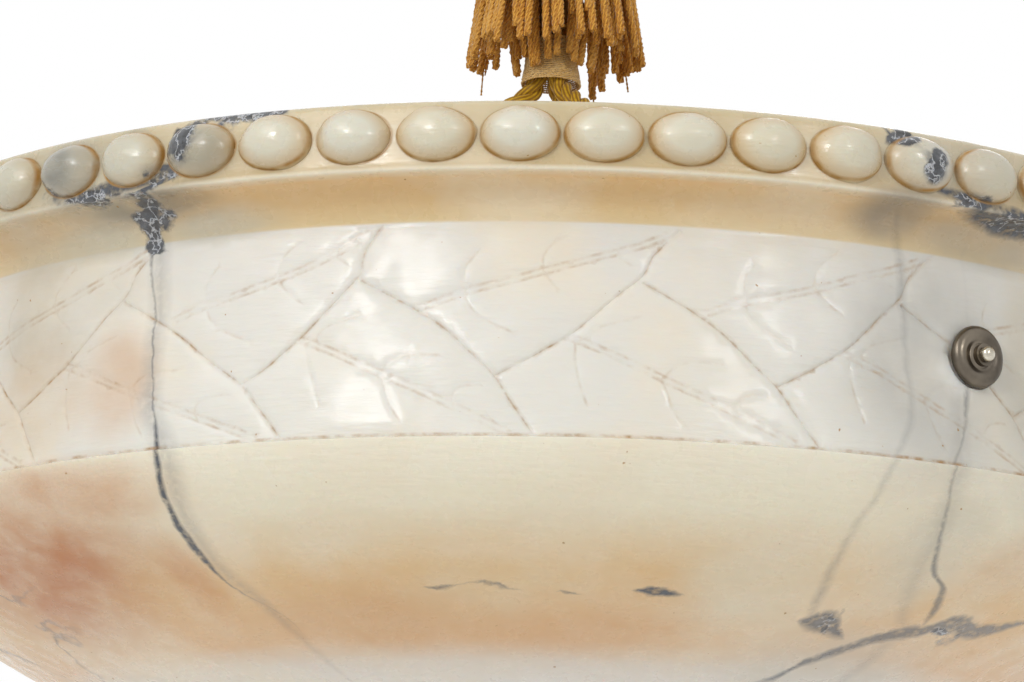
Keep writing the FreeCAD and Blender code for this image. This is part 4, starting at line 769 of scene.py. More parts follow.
BRASS = Metal("aged_brass", "aged_brass", "#C6A05C", "#7C5F33", 0.55, (0.28, 0.5), 10.0)
PATINA = Metal("patinated_brass", "patinated_brass", "#7C7366", "#504A43", 0.62, (0.28, 0.4), 9.0)
BRONZE = Metal("bearing_bronze", "bronze", "#A9754A", "#6E4527", 0.4, (0.3, 0.5), 8.0)
STEEL = Metal("zinc_plated_steel", "steel", "#B9BDC1", "#84888C", 0.3, (0.26, 0.45), 6.0)
NICKEL = Metal("worn_nickel", "nickel", "#CDC7B8", "#8E8471", 0.35, (0.2, 0.42), 4.0)
PAINTED = Moulded("painted_steel", "painted_steel", "#E9E4D8", "#DDD6C6", 0.42, 0.2, 0.0, 1.5, 0.02)
RUBBER = Moulded("moulded_rubber", "dark_rubber", "#2A2826", "#1C1B1A", 0.62, 0.0, 0.0, 0.7, 0.03)
CERAMIC = Moulded("glazed_ceramic", "white_ceramic", "#EEEAE0", "#E2DCCD", 0.3, 0.7, 0.0, 3.0, 0.02)
FELT = Moulded("wool_felt", "felt", "#6B5A44", "#4A3D2E", 0.95, 0.0, 0.6, 0.35, 0.12)
GLASS = FrostedGlass("frosted_glass", "frosted_glass")
ROPE_SILK = SpunSilk("gold_rope_silk", "gold_silk", "#D9AC1C", "#845806", 8.0, 7.0, 0.25, "#D8AE3C")
BULLION_SILK = SpunSilk("bullion_fringe_silk", "tassel_silk", "#F0B64C", "#AC6E22", 4.0, 3.5, 0.3, "#EFBB62")
THREAD_SILK = SpunSilk("whipping_thread", "whipping_silk", "#FFDC94", "#E4B466", 3.0, 2.5, 0.4, "#FFE3A8")
STONE = Alabaster("polished_alabaster", "alabaster", DOWN_VEINS + ROUND_VEINS)


# ---- camera, light and floor ------------------------------------------------
@dataclass(frozen=True)
class Studio:
    """The camera at the photograph's place, soft lamps and a pale floor."""

    camera_place: tuple[float, float, float] = (0.0, -1.0106, -0.6381)
    pitch: float = 13.226
    yaw: float = 0.655
    roll: float = 1.071
    focal_pixels: float = 3122.1
    image_width: float = 1024.0
    sensor_mm: float = 36.0
    floor_z: float = -1.5
    lamps: tuple[tuple[str, tuple[float, float, float], float, float], ...] = (
        ("lamp_left", (-0.95, -1.95, 0.28), 0.42, 10.5),
        ("lamp_right", (1.2, -1.8, 0.28), 0.36, 5.5),
        ("lamp_soft", (-1.6, -1.9, 1.3), 1.5, 14.0),
        ("lamp_rear", (0.3, 2.2, 0.6), 1.4, 12.0),
    )

    def camera(self) -> None:
        """Make the camera with the photograph's angle and lens."""
        data = bpy.data.cameras.new("photo_camera")
        data.sensor_width = self.sensor_mm
        data.lens = self.focal_pixels / self.image_width * self.sensor_mm
        data.clip_start = 0.01
        view = bpy.data.objects.new("photo_camera", data)
        turn = (Matrix.Rotation(math.radians(self.yaw), 4, "Z")
                @ Matrix.Rotation(math.radians(90 + self.pitch), 4, "X")
                @ Matrix.Rotation(math.radians(self.roll), 4, "Z"))
        view.matrix_world = Matrix.Translation(self.camera_place) @ turn
        bpy.context.scene.collection.objects.link(view)
        bpy.context.scene.camera = view
        bpy.context.scene.view_settings.view_transform = "Standard"

    def light(self) -> None:
        """Hang the soft lamps and set the plain world."""
        for name, place, size, power in self.lamps:
            data = bpy.data.lights.new(name, "AREA")
            data.shape = "DISK"
            data.size = size
            data.energy = power
            lamp = bpy.data.objects.new(name, data)
            lamp.location = place
            lamp.rotation_euler = (Vector((0, 0, -0.45)) - Vector(place)).to_track_quat("-Z", "Y").to_euler()
            bpy.context.scene.collection.objects.link(lamp)
        world = bpy.data.worlds.new("plain_room")
        world.use_nodes = True
        bpy.context.scene.world = world
        tree = world.node_tree
        backdrop = next(n for n in tree.nodes if n.type == "BACKGROUND")
        backdrop.inputs["Color"].default_value = (1.0, 1.0, 1.0, 1.0)
        tree.links.new(self.seen(tree, 0.58, 1.0), backdrop.inputs["Strength"])

    def seen(self, tree: bpy.types.NodeTree, lit: float, shown: float) -> bpy.types.NodeSocket:
        """Return one value for light on the object, and another for what the eye and gloss see."""
        path = add_node(tree, "ShaderNodeLightPath").outputs
        direct = add_node(tree, MATH, (path["Is Camera Ray"], path["Is Glossy Ray"]),
                          operation="MAXIMUM").outputs[0]
        looked = add_node(tree, MATH, (direct, path["Is Transmission Ray"]), operation="MAXIMUM").outputs[0]
        return add_node(tree, RANGE, (looked, 0.0, 1.0, lit, shown)).outputs[0]

    def floor(self) -> None:
        """Lay the pale floor."""
        half = 8.0
        corners = [(-half, -half, self.floor_z), (half, -half, self.floor_z), (half, half, self.floor_z),
                   (-half, half, self.floor_z)]
        material = bpy.data.materials.new("pale_floor")
        material.use_nodes = True
        shader = next(n for n in material.node_tree.nodes if n.type == "BSDF_PRINCIPLED")
        shader.inputs["Base Color"].default_value = linear("#F2F1EF")
        shader.inputs["Roughness"].default_value = 0.9
        shader.inputs["Emission Color"].default_value = (1.0, 1.0, 1.0, 1.0)
        glossy = add_node(material.node_tree, "ShaderNodeLightPath").outputs["Is Glossy Ray"]
        glow = add_node(material.node_tree, MATH, (glossy, 0.35), operation="MULTIPLY")
        material.node_tree.links.new(glow.outputs[0], shader.inputs["Emission Strength"])
        mesh = bpy.data.meshes.new("floor")
        mesh.from_pydata(corners, [], [(0, 1, 2, 3)])
        mesh.materials.append(material)
        link_mesh("floor", mesh)


# ---- twisted cords ----------------------------------------------------------
def twisted_cord_tree() -> bpy.types.NodeTree:
    """Return the tree that lays strands round every spline it is given."""
    tree, given = geometry_tree("twisted_cord", {
        "Strands": "NodeSocketInt", "Strand Radius": "NodeSocketFloat", "Lay Radius": "NodeSocketFloat",
        "Pitch": "NodeSocketFloat", "Step": "NodeSocketFloat", "Sides": "NodeSocketInt",
        "Material": "NodeSocketMaterial"})
    start = given.outputs

    even = add_node(tree, "GeometryNodeResampleCurve", {"Curve": start["Geometry"], "Length": start["Step"]},
                    mode="LENGTH").outputs[0]
    copies = add_node(tree, "GeometryNodeDuplicateElements", {"Geometry": even, "Amount": start["Strands"]},
                      domain="SPLINE").outputs
    length = add_node(tree, "GeometryNodeSplineParameter").outputs["Length"]
    marked = add_node(tree, "GeometryNodeStoreNamedAttribute", {
        "Geometry": copies["Geometry"], "Name": "along", "Value": length},
        data_type="FLOAT", domain="POINT").outputs[0]
    share = add_node(tree, MATH, (copies["Duplicate Index"], start["Strands"]), operation="DIVIDE").outputs[0]
    pitches = add_node(tree, MATH, (length, start["Pitch"]), operation="DIVIDE").outputs[0]
    turns = add_node(tree, MATH, (pitches, share), operation="ADD").outputs[0]
    angle = add_node(tree, MATH, (turns, TURN), operation="MULTIPLY").outputs[0]
    cosine = add_node(tree, MATH, (angle,), operation="COSINE").outputs[0]
    sine = add_node(tree, MATH, (angle,), operation="SINE").outputs[0]
    tangent = add_node(tree, "GeometryNodeInputTangent").outputs[0]
    normal = add_node(tree, "GeometryNodeInputNormal").outputs[0]
    side = add_node(tree, VECTOR, (tangent, normal), operation="CROSS_PRODUCT").outputs[0]
    outwards = add_node(tree, VECTOR, {0: normal, "Scale": cosine}, operation="SCALE").outputs[0]
    sideways = add_node(tree, VECTOR, {0: side, "Scale": sine}, operation="SCALE").outputs[0]
    reach = add_node(tree, VECTOR, (outwards, sideways), operation="ADD").outputs[0]
    offset = add_node(tree, VECTOR, {0: reach, "Scale": start["Lay Radius"]}, operation="SCALE").outputs[0]
    laid = add_node(tree, "GeometryNodeSetPosition", {"Geometry": marked, "Offset": offset}).outputs[0]
    profile = add_node(tree, "GeometryNodeCurvePrimitiveCircle", {
        "Resolution": start["Sides"], "Radius": start["Strand Radius"]}).outputs["Curve"]
    place = add_node(tree, "GeometryNodeInputPosition").outputs[0]
    unit = add_node(tree, VECTOR, (place,), operation="NORMALIZE").outputs[0]
    ringed = add_node(tree, "GeometryNodeStoreNamedAttribute", {
        "Geometry": profile, "Name": "ring", "Value": unit},
        data_type="FLOAT_VECTOR", domain="POINT").outputs[0]
    tube = add_node(tree, "GeometryNodeCurveToMesh", {"Curve": laid, "Profile Curve": ringed,
                                                      "Fill Caps": True}).outputs[0]
    finish_tree(tree, tube, start["Material"])
    return tree


@dataclass(frozen=True)
class Lay:
    """How a cord is laid up: all sizes in millimetres."""

    strands: int
    strand_r: float
    lay_r: float
    pitch: float
    step: float
    sides: int

    def grow(self, tree: bpy.types.NodeTree, source: bpy.types.Object, finish: Finish,
             name: str) -> bpy.types.Object:
        """Twist strands round a curve's splines and return the cord."""
        piece = grown(source, tree, {
            "Strands": self.strands, "Strand Radius": self.strand_r * MM, "Lay Radius": self.lay_r * MM,
            "Pitch": self.pitch * MM, "Step": self.step * MM, "Sides": self.sides,
            "Material": material_of(finish)}, name)
        return piece


@dataclass(frozen=True)
class SilkRopes:
    """The thick rope from the ceiling and the three that hold the bowl."""

    tree: bpy.types.NodeTree
    main_lay: Lay = Lay(3, 2.72, 2.78, 34.0, 1.3, 16)
    bowl_lay: Lay = Lay(3, 1.74, 1.76, 21.0, 1.1, 14)
    main_diameter: float = 0.011
    bowl_diameter: float = 0.007

    def route(self, name: str, points: Sequence[Vector]) -> tuple[bpy.types.Object, list[Vector]]:
        """Return a rope's curve and the points that its smooth line passes."""
        curve = curve_from(name, [points], "NURBS")
        line = evaluated_mesh(curve)
        path = [vertex.co.copy() for vertex in line.vertices]
        bpy.data.meshes.remove(line)
        return curve, path

    def rope(self, name: str, points: Sequence[Vector], lay: Lay, node: str) -> None:
        """Make one taut rope.

        Args:
            name: the piece's name.
            points: the route's control points.
            lay: how its strands lie.
            node: the CAD node that it stands for.
        """
        curve, path = self.route(name, points)
        piece = lay.grow(self.tree, curve, ROPE_SILK, name)
        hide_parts(node)
        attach(piece, "pendant")

    def build(self, nodes: Mapping[str, bpy.types.Object]) -> None:
        """Make the four ropes; the lower three end in their packed ferrules."""
        main = [Vector((0, 0, z)) for z in (-0.092, -0.1815, -0.271)]
        self.rope("silk_main_rope", main, self.main_lay, "main_rope")
        for side, azimuth in ROPE_AZIMUTHS.items():
            points = [at_azimuth(rho * MM, z * MM, azimuth) for rho, z in (
                (4.15, -274.0), (4.2, -300.0), (4.6, -313.5), (14.0, -320.2), (40.0, -339.3),
                (171.13, -435.96))]
            self.rope("silk_rope_" + side, points, self.bowl_lay, "rope_" + side)


@dataclass(frozen=True)
class Whipping:
    """The thread wound round the three ropes, just under their cup."""

    tree: bpy.types.NodeTree
    top: float = -296.2
    bottom: float = -311.6
    top_r: float = 8.5
    bottom_r: float = 9.9
    thread: float = 0.46
    crowding: float = 0.78

    def build(self) -> None:
        """Wind the thread down in one tight helix."""
        turns = (self.top - self.bottom) / (2 * self.thread * self.crowding)
        steps = int(turns * 30)
        route = []
        for k in range(steps + 1):
            t = k / steps
            r = self.top_r + (self.bottom_r - self.top_r) * t ** 2 + 0.12 * math.sin(9.0 * t)
            route.append(at_azimuth(r * MM, (self.top + (self.bottom - self.top) * t) * MM, 360 * turns * t))
        lay = Lay(2, self.thread * 0.56, self.thread * 0.44, 1.6, 0.9, 6)
        piece = lay.grow(self.tree, curve_from("whipping", [route]), THREAD_SILK, "thread_whipping")
        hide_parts("silk_whipping")
        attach(piece, "pendant")
        LOG.info("whipping: %.0f turns", turns)


# ---- tassel -----------------------------------------------------------------
def ribbed_turning(name: str, outline: Sequence[tuple[float, float, int]], ribs: int, rise_mm: float,
                   per_rib: int, silk: SpunSilk) -> bpy.types.Mesh:
    """Turn a closed outline about the axis, with ribs up its outside.

    Args:
        name: the mesh's name.
        outline: radius and height in millimetres and whether it is ribbed, first joined to last.
        ribs: how many ribs go round.
        rise_mm: how far a rib stands up, where the radius allows it.
        per_rib: how many columns a rib has.
        silk: its finish, whose threads run upright, one to each rib.

    Returns:
        The closed mesh.
    """
    columns = ribs * per_rib
    vertices, faces = [], []
    for r, z, ribbed in outline:
        for k in range(columns):
            wave = abs(math.sin(math.pi * k / per_rib)) if ribbed else 0.0
            vertices.append(at_azimuth((r + rise_mm * (wave - 0.6) * ribbed) * MM, z * MM, 360 * k / columns))
    rows = len(outline)
    for i in range(rows):
        for k in range(columns):
            a, b = i * columns + k, i * columns + (k + 1) % columns
            c, d = ((i + 1) % rows) * columns + (k + 1) % columns, ((i + 1) % rows) * columns + k
            faces.append((a, b, c, d))
    mesh = mesh_from(name, vertices, faces, material_of(silk))
    turns = [math.atan2(v.co.x, -v.co.y) * ribs / silk.threads for v in mesh.vertices]
    ring = mesh.attributes.new("ring", "FLOAT_VECTOR", "POINT")
    ring.data.foreach_set("vector", [c for turn in turns for c in (math.cos(turn), math.sin(turn), 0.0)])
    return mesh


@dataclass(frozen=True)
class Fringe:
    """One ring of hanging cords: sizes in millimetres, and how far round it goes each way."""

    count: int
    top_r: float
    bottom_r: float
    spread: float
    flare: float
    shortest: float
    longest: float
    reach: float = 180.0


@dataclass(frozen=True)
class Tassel:
    """Thread-covered head, plaited band, corded ring and a skirt of twisted bullion cords."""

    tree: bpy.types.NodeTree
    seed: int = 11
    top_z: float = -239.0
    bunches: int = 15
    bullion: Lay = Lay(3, 0.8, 0.72, 5.2, 1.05, 5)
    thread: Lay = Lay(2, 0.22, 0.2, 2.4, 1.4, 5)
    fringes: tuple[Fringe, ...] = (
        Fringe(50, 21.0, 29.2, 1.3, 1.2, 60.0, 66.0), Fringe(30, 18.8, 22.5, 2.0, 1.2, 60.0, 65.0),
        Fringe(13, 17.4, 12.8, 0.8, 2.2, 64.0, 69.0, 95.0))
    # Where the old skirt is worn short or has matted long: middle and half breadth in degrees, millimetres.
    worn: tuple[tuple[float, float, float], ...] = (
        (210.0, 24.0, -17.0), (159.0, 7.0, -20.0), (146.0, 6.0, 6.0), (-27.0, 5.0, -4.0), (18.0, 4.0, -9.0))
    loose: tuple[Point, ...] = ((-116.0, 72.0), (-127.0, 64.0), (113.0, 70.0), (103.0, 65.0), (84.0, 66.0),
                                (150.0, 74.0))

    def head(self) -> None:
        """Cover the turned mould with upright silk threads."""
        bore, low, flange, shelf, neck, top = 5.95, -257.7, -238.0, -230.0, -202.0, -193.0
        outline = [(bore, low, 0), (16.0, low, 0), (16.0, flange, 0), (20.0, flange, 0), (20.0, shelf, 0)]
        rows = 22
        for k in range(rows + 1):
            t = k / rows
            r = 16.5 + 3.2 * math.sin(math.pi * min(1.0, t * 1.15) ** 0.85) - 6.9 * max(0.0, t - 0.32) ** 1.35
            outline.append((max(r, 9.6), shelf + (neck - shelf) * t, 1))
        outline += [(9.6, neck + 6.2, 1), (9.2, top - 0.8, 1), (8.2, top, 0), (bore, top, 0)]
        mesh = ribbed_turning("tassel_head_threads", outline, 84, 0.55, 4, BULLION_SILK)
        piece = link_mesh("tassel_head_threads", mesh)
        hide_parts("tassel_head")
        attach(piece, "tassel")

    def band(self) -> None:
        """Plait the gimp braid round the head."""
        waves, steps, middle = 18, 540, -234.0
        routes = []
        for phase in range(4):
            route = []
            for k in range(steps):
                turn = waves * TURN * k / steps + phase * TURN / 4
                route.append(at_azimuth((22.6 + 0.75 * math.cos(2 * turn)) * MM,
                                        (middle + 2.9 * math.sin(turn)) * MM, 360 * k / steps))
            routes.append(route)
        for edge in (-3.6, 3.6):
            routes.append([at_azimuth(22.6 * MM, (middle + edge) * MM, 2.0 * k) for k in range(180)])
        lay = Lay(2, 0.52, 0.5, 3.1, 0.9, 6)
        piece = lay.grow(self.tree, curve_from("gimp", routes, closed=True), BULLION_SILK, "gimp_braid")
        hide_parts("tassel_band")
        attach(piece, "tassel")

    def ring(self) -> None:
        """Lay the corded ring round the head's neck."""
        circle = [at_azimuth(11.15 * MM, -199.0 * MM, 3.0 * k) for k in range(120)]
        lay = Lay(3, 0.95, 0.9, TURN * 11.15 / 7, 0.8, 9)
        piece = lay.grow(self.tree, curve_from("neck_ring", [circle], closed=True), ROPE_SILK,
                         "neck_cord_ring")
        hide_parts("tassel_ring")
        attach(piece, "tassel")

    def hanging(self, draw: random.Random, azimuth: float, fringe: Fringe, length: float) -> list[Vector]:
        """Return the line of one hanging cord, bent and bunched, as a cord that has hung for years.

        Args:
            draw: the seeded source of its bends.
            azimuth: where it hangs, in degrees.
            fringe: the ring that it is part of.
            length: how far it hangs, in millimetres.

        Returns:
            Its points in metres.
        """
        sway, lean = draw.uniform(-1.0, 1.0), draw.uniform(-1.6, 1.6)
        phase, wave = draw.uniform(0, TURN), draw.uniform(0.2, 0.8)
        bunch = 360 / self.bunches
        lean += math.radians(round(azimuth / bunch) * bunch - azimuth) * fringe.bottom_r * 0.42
        top_r = fringe.top_r + draw.uniform(-0.4, 0.4)
        end_r = fringe.bottom_r + draw.uniform(-fringe.spread, 0.6 * fringe.spread)
        end_r += math.sin(math.radians(azimuth))
        points = []
        steps = 16
        for k in range(steps + 1):
            t = k / steps
            r = top_r + (end_r - top_r) * t ** fringe.flare + sway * math.sin(math.pi * t) * 0.6
            bend = (lean * t ** 2 + wave * math.sin(phase + 4.2 * t) * t) / r
            points.append(at_azimuth(r * MM, (self.top_z - length * t) * MM, azimuth + math.degrees(bend)))
        return points

    def skirt(self) -> None:
        """Hang the bullion cords in rings, worn short in places and bunched together."""
        draw = random.Random(self.seed)
        routes = []
        for fringe in self.fringes:
            for k in range(fringe.count):
                azimuth = fringe.reach * (2 * (k + draw.uniform(-0.2, 0.2)) / fringe.count - 1)
                length = draw.uniform(fringe.shortest, fringe.longest)
                length += sum(more for middle, half, more in self.worn
                              if abs((azimuth - middle + 180) % 360 - 180) < half)
                routes.append(self.hanging(draw, azimuth, fringe, length))
        piece = self.bullion.grow(self.tree, curve_from("bullion", routes), BULLION_SILK, "bullion_skirt")
        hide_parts("tassel_skirt")
        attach(piece, "tassel")
        LOG.info("tassel skirt: %d cords", len(routes))
        stray = [self.hanging(draw, azimuth, self.fringes[0], length) for azimuth, length in self.loose]
        threads = self.thread.grow(self.tree, curve_from("strays", stray), BULLION_SILK, "loose_threads")
        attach(threads, "tassel")

    def build(self) -> None:
        """Make the whole tassel."""
        self.head()
        self.band()
        self.ring()
        self.skirt()


# ---- the bowl ---------------------------------------------------------------
class Cut(Enum):
    """The chisel lines of the leaf pattern, with depth and half breadth in millimetres."""

    EDGE = (0.36, 1.0)
    RIB = (0.2, 0.62)
    VEIN = (0.15, 0.6)


# One leaf of the band: degrees round from the leaf's heart, millimetres below the rim.
LEAF = (
    (Cut.EDGE, ((8.0, 31.0), (6.2, 38.0), (5.5, 43.5), (3.8, 49.0), (1.5, 57.0), (0.2, 61.0), (-1.5, 65.0),
                (-3.0, 68.5), (-4.9, 72.3))),
    (Cut.EDGE, ((-14.5, 45.5), (-10.8, 53.5), (-8.5, 59.5), (-6.6, 66.2), (-4.9, 72.3), (-3.8, 78.5),
                (-2.6, 85.0), (-2.1, 87.7))),
    (Cut.RIB, ((0.3, 61.3), (3.0, 65.2), (6.8, 71.6), (10.2, 77.0), (13.0, 81.8), (16.0, 87.2))),
    (Cut.RIB, ((-10.0, 53.0), (-7.0, 49.2), (-3.5, 45.8), (0.0, 41.8), (3.0, 38.2), (5.0, 35.8),
               (7.2, 32.2))),
    (Cut.VEIN, ((-1.7, 43.6), (-1.7, 39.5), (-1.0, 36.1), (0.0, 33.5))),
    (Cut.VEIN, ((-1.7, 43.6), (-1.3, 45.8), (-0.7, 48.1), (0.2, 50.5))),
    (Cut.VEIN, ((-7.2, 49.4), (-7.3, 43.4), (-6.5, 39.0))),
    (Cut.VEIN, ((-7.2, 49.4), (-7.0, 52.6), (-6.0, 56.5), (-3.8, 60.6))),
    (Cut.VEIN, ((3.7, 37.4), (3.8, 38.9), (4.6, 40.8))),
    (Cut.VEIN, ((6.8, 71.6), (7.9, 68.0), (9.1, 66.7), (11.2, 66.9))),
    (Cut.VEIN, ((6.8, 71.6), (7.2, 75.6), (7.6, 80.2), (8.3, 84.1))),
    (Cut.VEIN, ((12.3, 80.6), (12.2, 77.8), (12.8, 75.4), (14.2, 74.8))),
    (Cut.VEIN, ((0.9, 62.3), (1.7, 61.0), (2.5, 58.2), (5.2, 55.1))),
    (Cut.VEIN, ((0.7, 62.3), (0.7, 68.0), (1.1, 75.1), (1.6, 80.2))),
)
# Where the carver's hand strayed: middle and spread in degrees, then (millimetres down, degrees moved).
LEANS = (
    (-12.5, 4.0, ((31.0, -1.9), (37.0, -1.0), (43.0, -0.4), (50.0, 0.0))),
    (-21.0, 5.5, ((45.0, 0.5), (60.0, 0.7), (72.0, 1.5), (88.0, 1.6))),
    (21.3, 8.0, ((31.0, 0.3), (88.0, 0.5))),
)


@dataclass(frozen=True)
class Bowl:
    """The carved bowl. Lengths are millimetres, heights count down from the rim."""

    rim_r: float = 225.0
    fascia_bottom_r: float = 226.4
    fascia_h: float = 19.2
    inner_r: float = 198.0
    edge: float = 1.2
    lip_w: float = 1.9
    lip_drop: float = 0.4
    cove_r: float = 13.5
    cove_sweep: float = 75.0
    band_bottom_r: float = 215.9
    band_bottom: float = 88.4
    ledge_w: float = 1.2
    ledge_drop: float = 0.5
    shoulder_r: float = 55.0
    shoulder_start: float = 30.0
    depth: float = 168.6
    wall: float = 15.0
    corner_r: float = 60.0
    columns: int = 540
    leaves: int = 18
    leaf_heart: float = 1.3
    carver_seed: int = 7
    bolt_down: float = 57.4
    seat_rho: float = 213.2
    seat_r: float = 8.6
    bead_count: int = 64
    bead_first: float = -41.4
    bead_half: tuple[float, float, float] = (7.6, 10.5, 7.75)
    bead_rho: float = 224.6
    bead_down: float = 9.7

    def band_top(self) -> Point:
        """Return the radius and depth where the cove meets the band."""
        end = math.radians(90 + self.cove_sweep)
        return (self.fascia_bottom_r - self.lip_w + self.cove_r * math.cos(end),
                self.fascia_h + self.lip_drop + self.cove_r * (1 - math.sin(end)))

    def bottom_arcs(self) -> tuple[Point, Point, float, float]:
        """Return the shoulder's centre, the bottom arc's centre and radius, and their joint angle."""
        start = math.radians(self.shoulder_start)
        sx = self.band_bottom_r + self.ledge_w - self.shoulder_r * math.cos(start)
        sd = self.band_bottom + self.ledge_drop - self.shoulder_r * math.sin(start)
        reach = self.depth - self.shoulder_r
        bd = (reach ** 2 - sx ** 2 - sd ** 2) / (2 * (reach - sd))
        return (sx, sd), (0.0, bd), self.depth - bd, math.atan2(sd - bd, sx)

    def arc(self, centre: Point, radius: float, first: float, last: float, count: int) -> list[Point]:
        """Return points of an arc as radius and depth, angles below the level."""
        return [(centre[0] + radius * math.cos(first + (last - first) * k / count),
                 centre[1] + radius * math.sin(first + (last - first) * k / count)) for k in range(count + 1)]

    def lower_rows(self) -> list[Point]:
        """Return the outside's rows from the band's bottom to the pole."""
        shoulder, bottom, radius, join = self.bottom_arcs()
        ledge_r, ledge_d = self.band_bottom_r + self.ledge_w, self.band_bottom + self.ledge_drop
        rows = [(self.band_bottom_r, self.band_bottom), (ledge_r - 0.5, ledge_d - 0.25),
                (ledge_r - 0.1, ledge_d)]
        rows += self.arc(shoulder, self.shoulder_r, math.radians(self.shoulder_start), join, 16)
        rows += self.arc(bottom, radius, join, math.pi / 2, 24)[1:-1]
        return rows

    def upper_rows(self) -> list[Point]:
        """Return the rows from the band's top over the rim and down the inside to the pole."""
        _, bottom, radius, _ = self.bottom_arcs()
        inner = radius - self.wall
        corner_x = self.inner_r - self.corner_r
        corner_d = bottom[1] + math.sqrt((inner - self.corner_r) ** 2 - corner_x ** 2)
        join = math.atan2(corner_d - bottom[1], corner_x)
        cove = (self.fascia_bottom_r - self.lip_w, self.fascia_h + self.lip_drop + self.cove_r)
        rows = [self.band_top()] + [(cove[0] + self.cove_r * math.cos(a), cove[1] - self.cove_r * math.sin(a))
                                    for a in np.radians(np.linspace(90 + self.cove_sweep, 90, 13))][1:]
        rows += [(self.fascia_bottom_r - 0.25, self.fascia_h + 0.12),
                 (self.fascia_bottom_r, self.fascia_h - 0.3)]
        rows += [(self.rim_r + 1.4 * t, self.fascia_h * t) for t in (0.85, 0.7, 0.5, 0.3, 0.15)]
        rows += [(self.rim_r - 0.35 * self.edge * k, self.edge * (1 - k / 3) ** 1.5) for k in range(4)]
        rows += [(r, 0.0) for r in np.linspace(self.rim_r - 3, self.inner_r + 3, 6)]
        rows += [(self.inner_r + self.edge, 0.0), (self.inner_r, self.edge)]
        rows += [(self.inner_r, d) for d in np.linspace(8.0, corner_d, 6)]
        rows += self.arc((corner_x, corner_d), self.corner_r, 0.0, join, 9)[1:]
        rows += self.arc(bottom, inner, join, math.pi / 2, 14)[1:-1]
        return rows

    def turned(self, rows: Sequence[Point], pole_down: float) -> tuple[list[Vector], list[tuple[int, ...]]]:
        """Turn rows about the axis and close them with a pole.

        Args:
            rows: radius and depth of each row.
            pole_down: the depth of the closing pole.

        Returns:
            The vertices and faces.
        """
        n = self.columns
        vertices = [at_azimuth(r * MM, RIM_Z - d * MM, -180 + 360 * k / n) for r, d in rows for k in range(n)]
        faces = [(i * n + k, i * n + (k + 1) % n, (i + 1) * n + (k + 1) % n, (i + 1) * n + k)
                 for i in range(len(rows) - 1) for k in range(n)]
        last = (len(rows) - 1) * n
        vertices.append(Vector((0, 0, RIM_Z - pole_down * MM)))
        faces += [(last + k, last + (k + 1) % n, len(vertices) - 1) for k in range(n)]
        return vertices, faces

    def wander(self, azimuth: float, down: float) -> Point:
        """Return a leaf point as the carver's hand moved it: leaves differ a little all round."""
        place = at_azimuth(5.0, down / 40, azimuth)
        shift = noise.noise_vector(place)
        drift = sum(float(np.interp(down, *zip(*moves))) * math.exp(-((azimuth - centre) / spread) ** 2)
                    for centre, spread, moves in LEANS)
        edge = min(1.0, (down - 30.5) / 6, (88.0 - down) / 6)
        return azimuth + 0.35 * shift.x + drift, down + 0.8 * shift.y * max(0.0, edge)

    def cuts(self) -> list[tuple[Cut, np.ndarray]]:
        """Return every chisel line round the band as points of degrees and depth, 2 mm apart."""
        noise.seed_set(self.carver_seed)
        degree = TURN * LEAF_BAND_R / 360
        lines = []
        for leaf in range(-self.leaves // 2 - 1, self.leaves // 2 + 1):
            heart = self.leaf_heart + 360 / self.leaves * leaf
            for cut, points in LEAF:
                smooth = self.smoothed([(heart + a, d) for a, d in points], degree)
                moved = []
                for a, d in smooth:
                    wrapped = (a + 180) % 360 - 180
                    wa, wd = self.wander(wrapped, d)
                    moved.append((a + wa - wrapped, wd))
                lines.append((cut, np.array(moved)))
        return lines

    def smoothed(self, points: Sequence[Point], degree: float) -> list[Point]:
        """Return a smooth line through points, with a point about every 2 mm."""
        rounded = [np.array(p) for p in points]
        result = []
        for k in range(len(rounded) - 1):
            before, a, b = rounded[max(k - 1, 0)], rounded[k], rounded[k + 1]
            after = rounded[min(k + 2, len(rounded) - 1)]
            span = math.hypot((b[0] - a[0]) * degree, b[1] - a[1])
            count = max(1, round(span / 2.0))
            for j in range(count):
                t = j / count
                second = 2 * before - 5 * a + 4 * b - after
                third = 3 * a - before - 3 * b + after
                result.append(tuple(0.5 * (2 * a + (b - before) * t + second * t ** 2 + third * t ** 3)))
        result.append(tuple(rounded[-1]))
        return result

    def band(self) -> tuple[list[Vector], list[tuple[int, ...]], list[float]]:
        """Return the leaf band's vertices, faces and how deep in a cut each vertex is."""
        degree = TURN * LEAF_BAND_R / 360
        top_r, top = self.band_top()
        half = 180 * degree
        points: list[Point] = []
        edges: list[tuple[int, int]] = []
        segments = []
        extra: list[Point] = []
        for cut, line in self.cuts():
            flat = line * (degree, 1.0)
            if flat[:, 0].max() < -half - 1 or flat[:, 0].min() > half + 1:
                continue
            step = np.diff(flat, axis=0)
            across = np.stack([-step[:, 1], step[:, 0]], 1) / np.linalg.norm(step, axis=1)[:, None]
            across = np.vstack([across, across[-1:]])
            rails = (-0.85, 0.85) if cut is Cut.RIB else (0.0,)
            for rail in rails:
                start = len(points)
                moved = flat + across * rail
                moved[:, 1] = moved[:, 1].clip(top + 0.7, self.band_bottom - 0.5)
                points += [tuple(p) for p in moved]
                within = abs(moved[:, 0]) < half - 0.8
                edges += [(start + k, start + k + 1) for k in range(len(moved) - 1)
                          if within[k] and within[k + 1]]
                segments += [(cut, moved[k], moved[k + 1]) for k in range(len(moved) - 1)]
            offsets = {Cut.EDGE: (-1.0, -0.45, 0.45, 1.0), Cut.RIB: (-1.5, 0.0, 1.5),
                       Cut.VEIN: (-0.65, 0.65)}[cut]
            extra += [tuple(p) for offset in offsets for p in flat + across * offset]
        extra += self.fill(half, top)
        tables = self.segment_tables(segments)
        spots = np.array([p for p in extra if -half + 1 < p[0] < half - 1
                          and top + 0.9 < p[1] < self.band_bottom - 0.9])
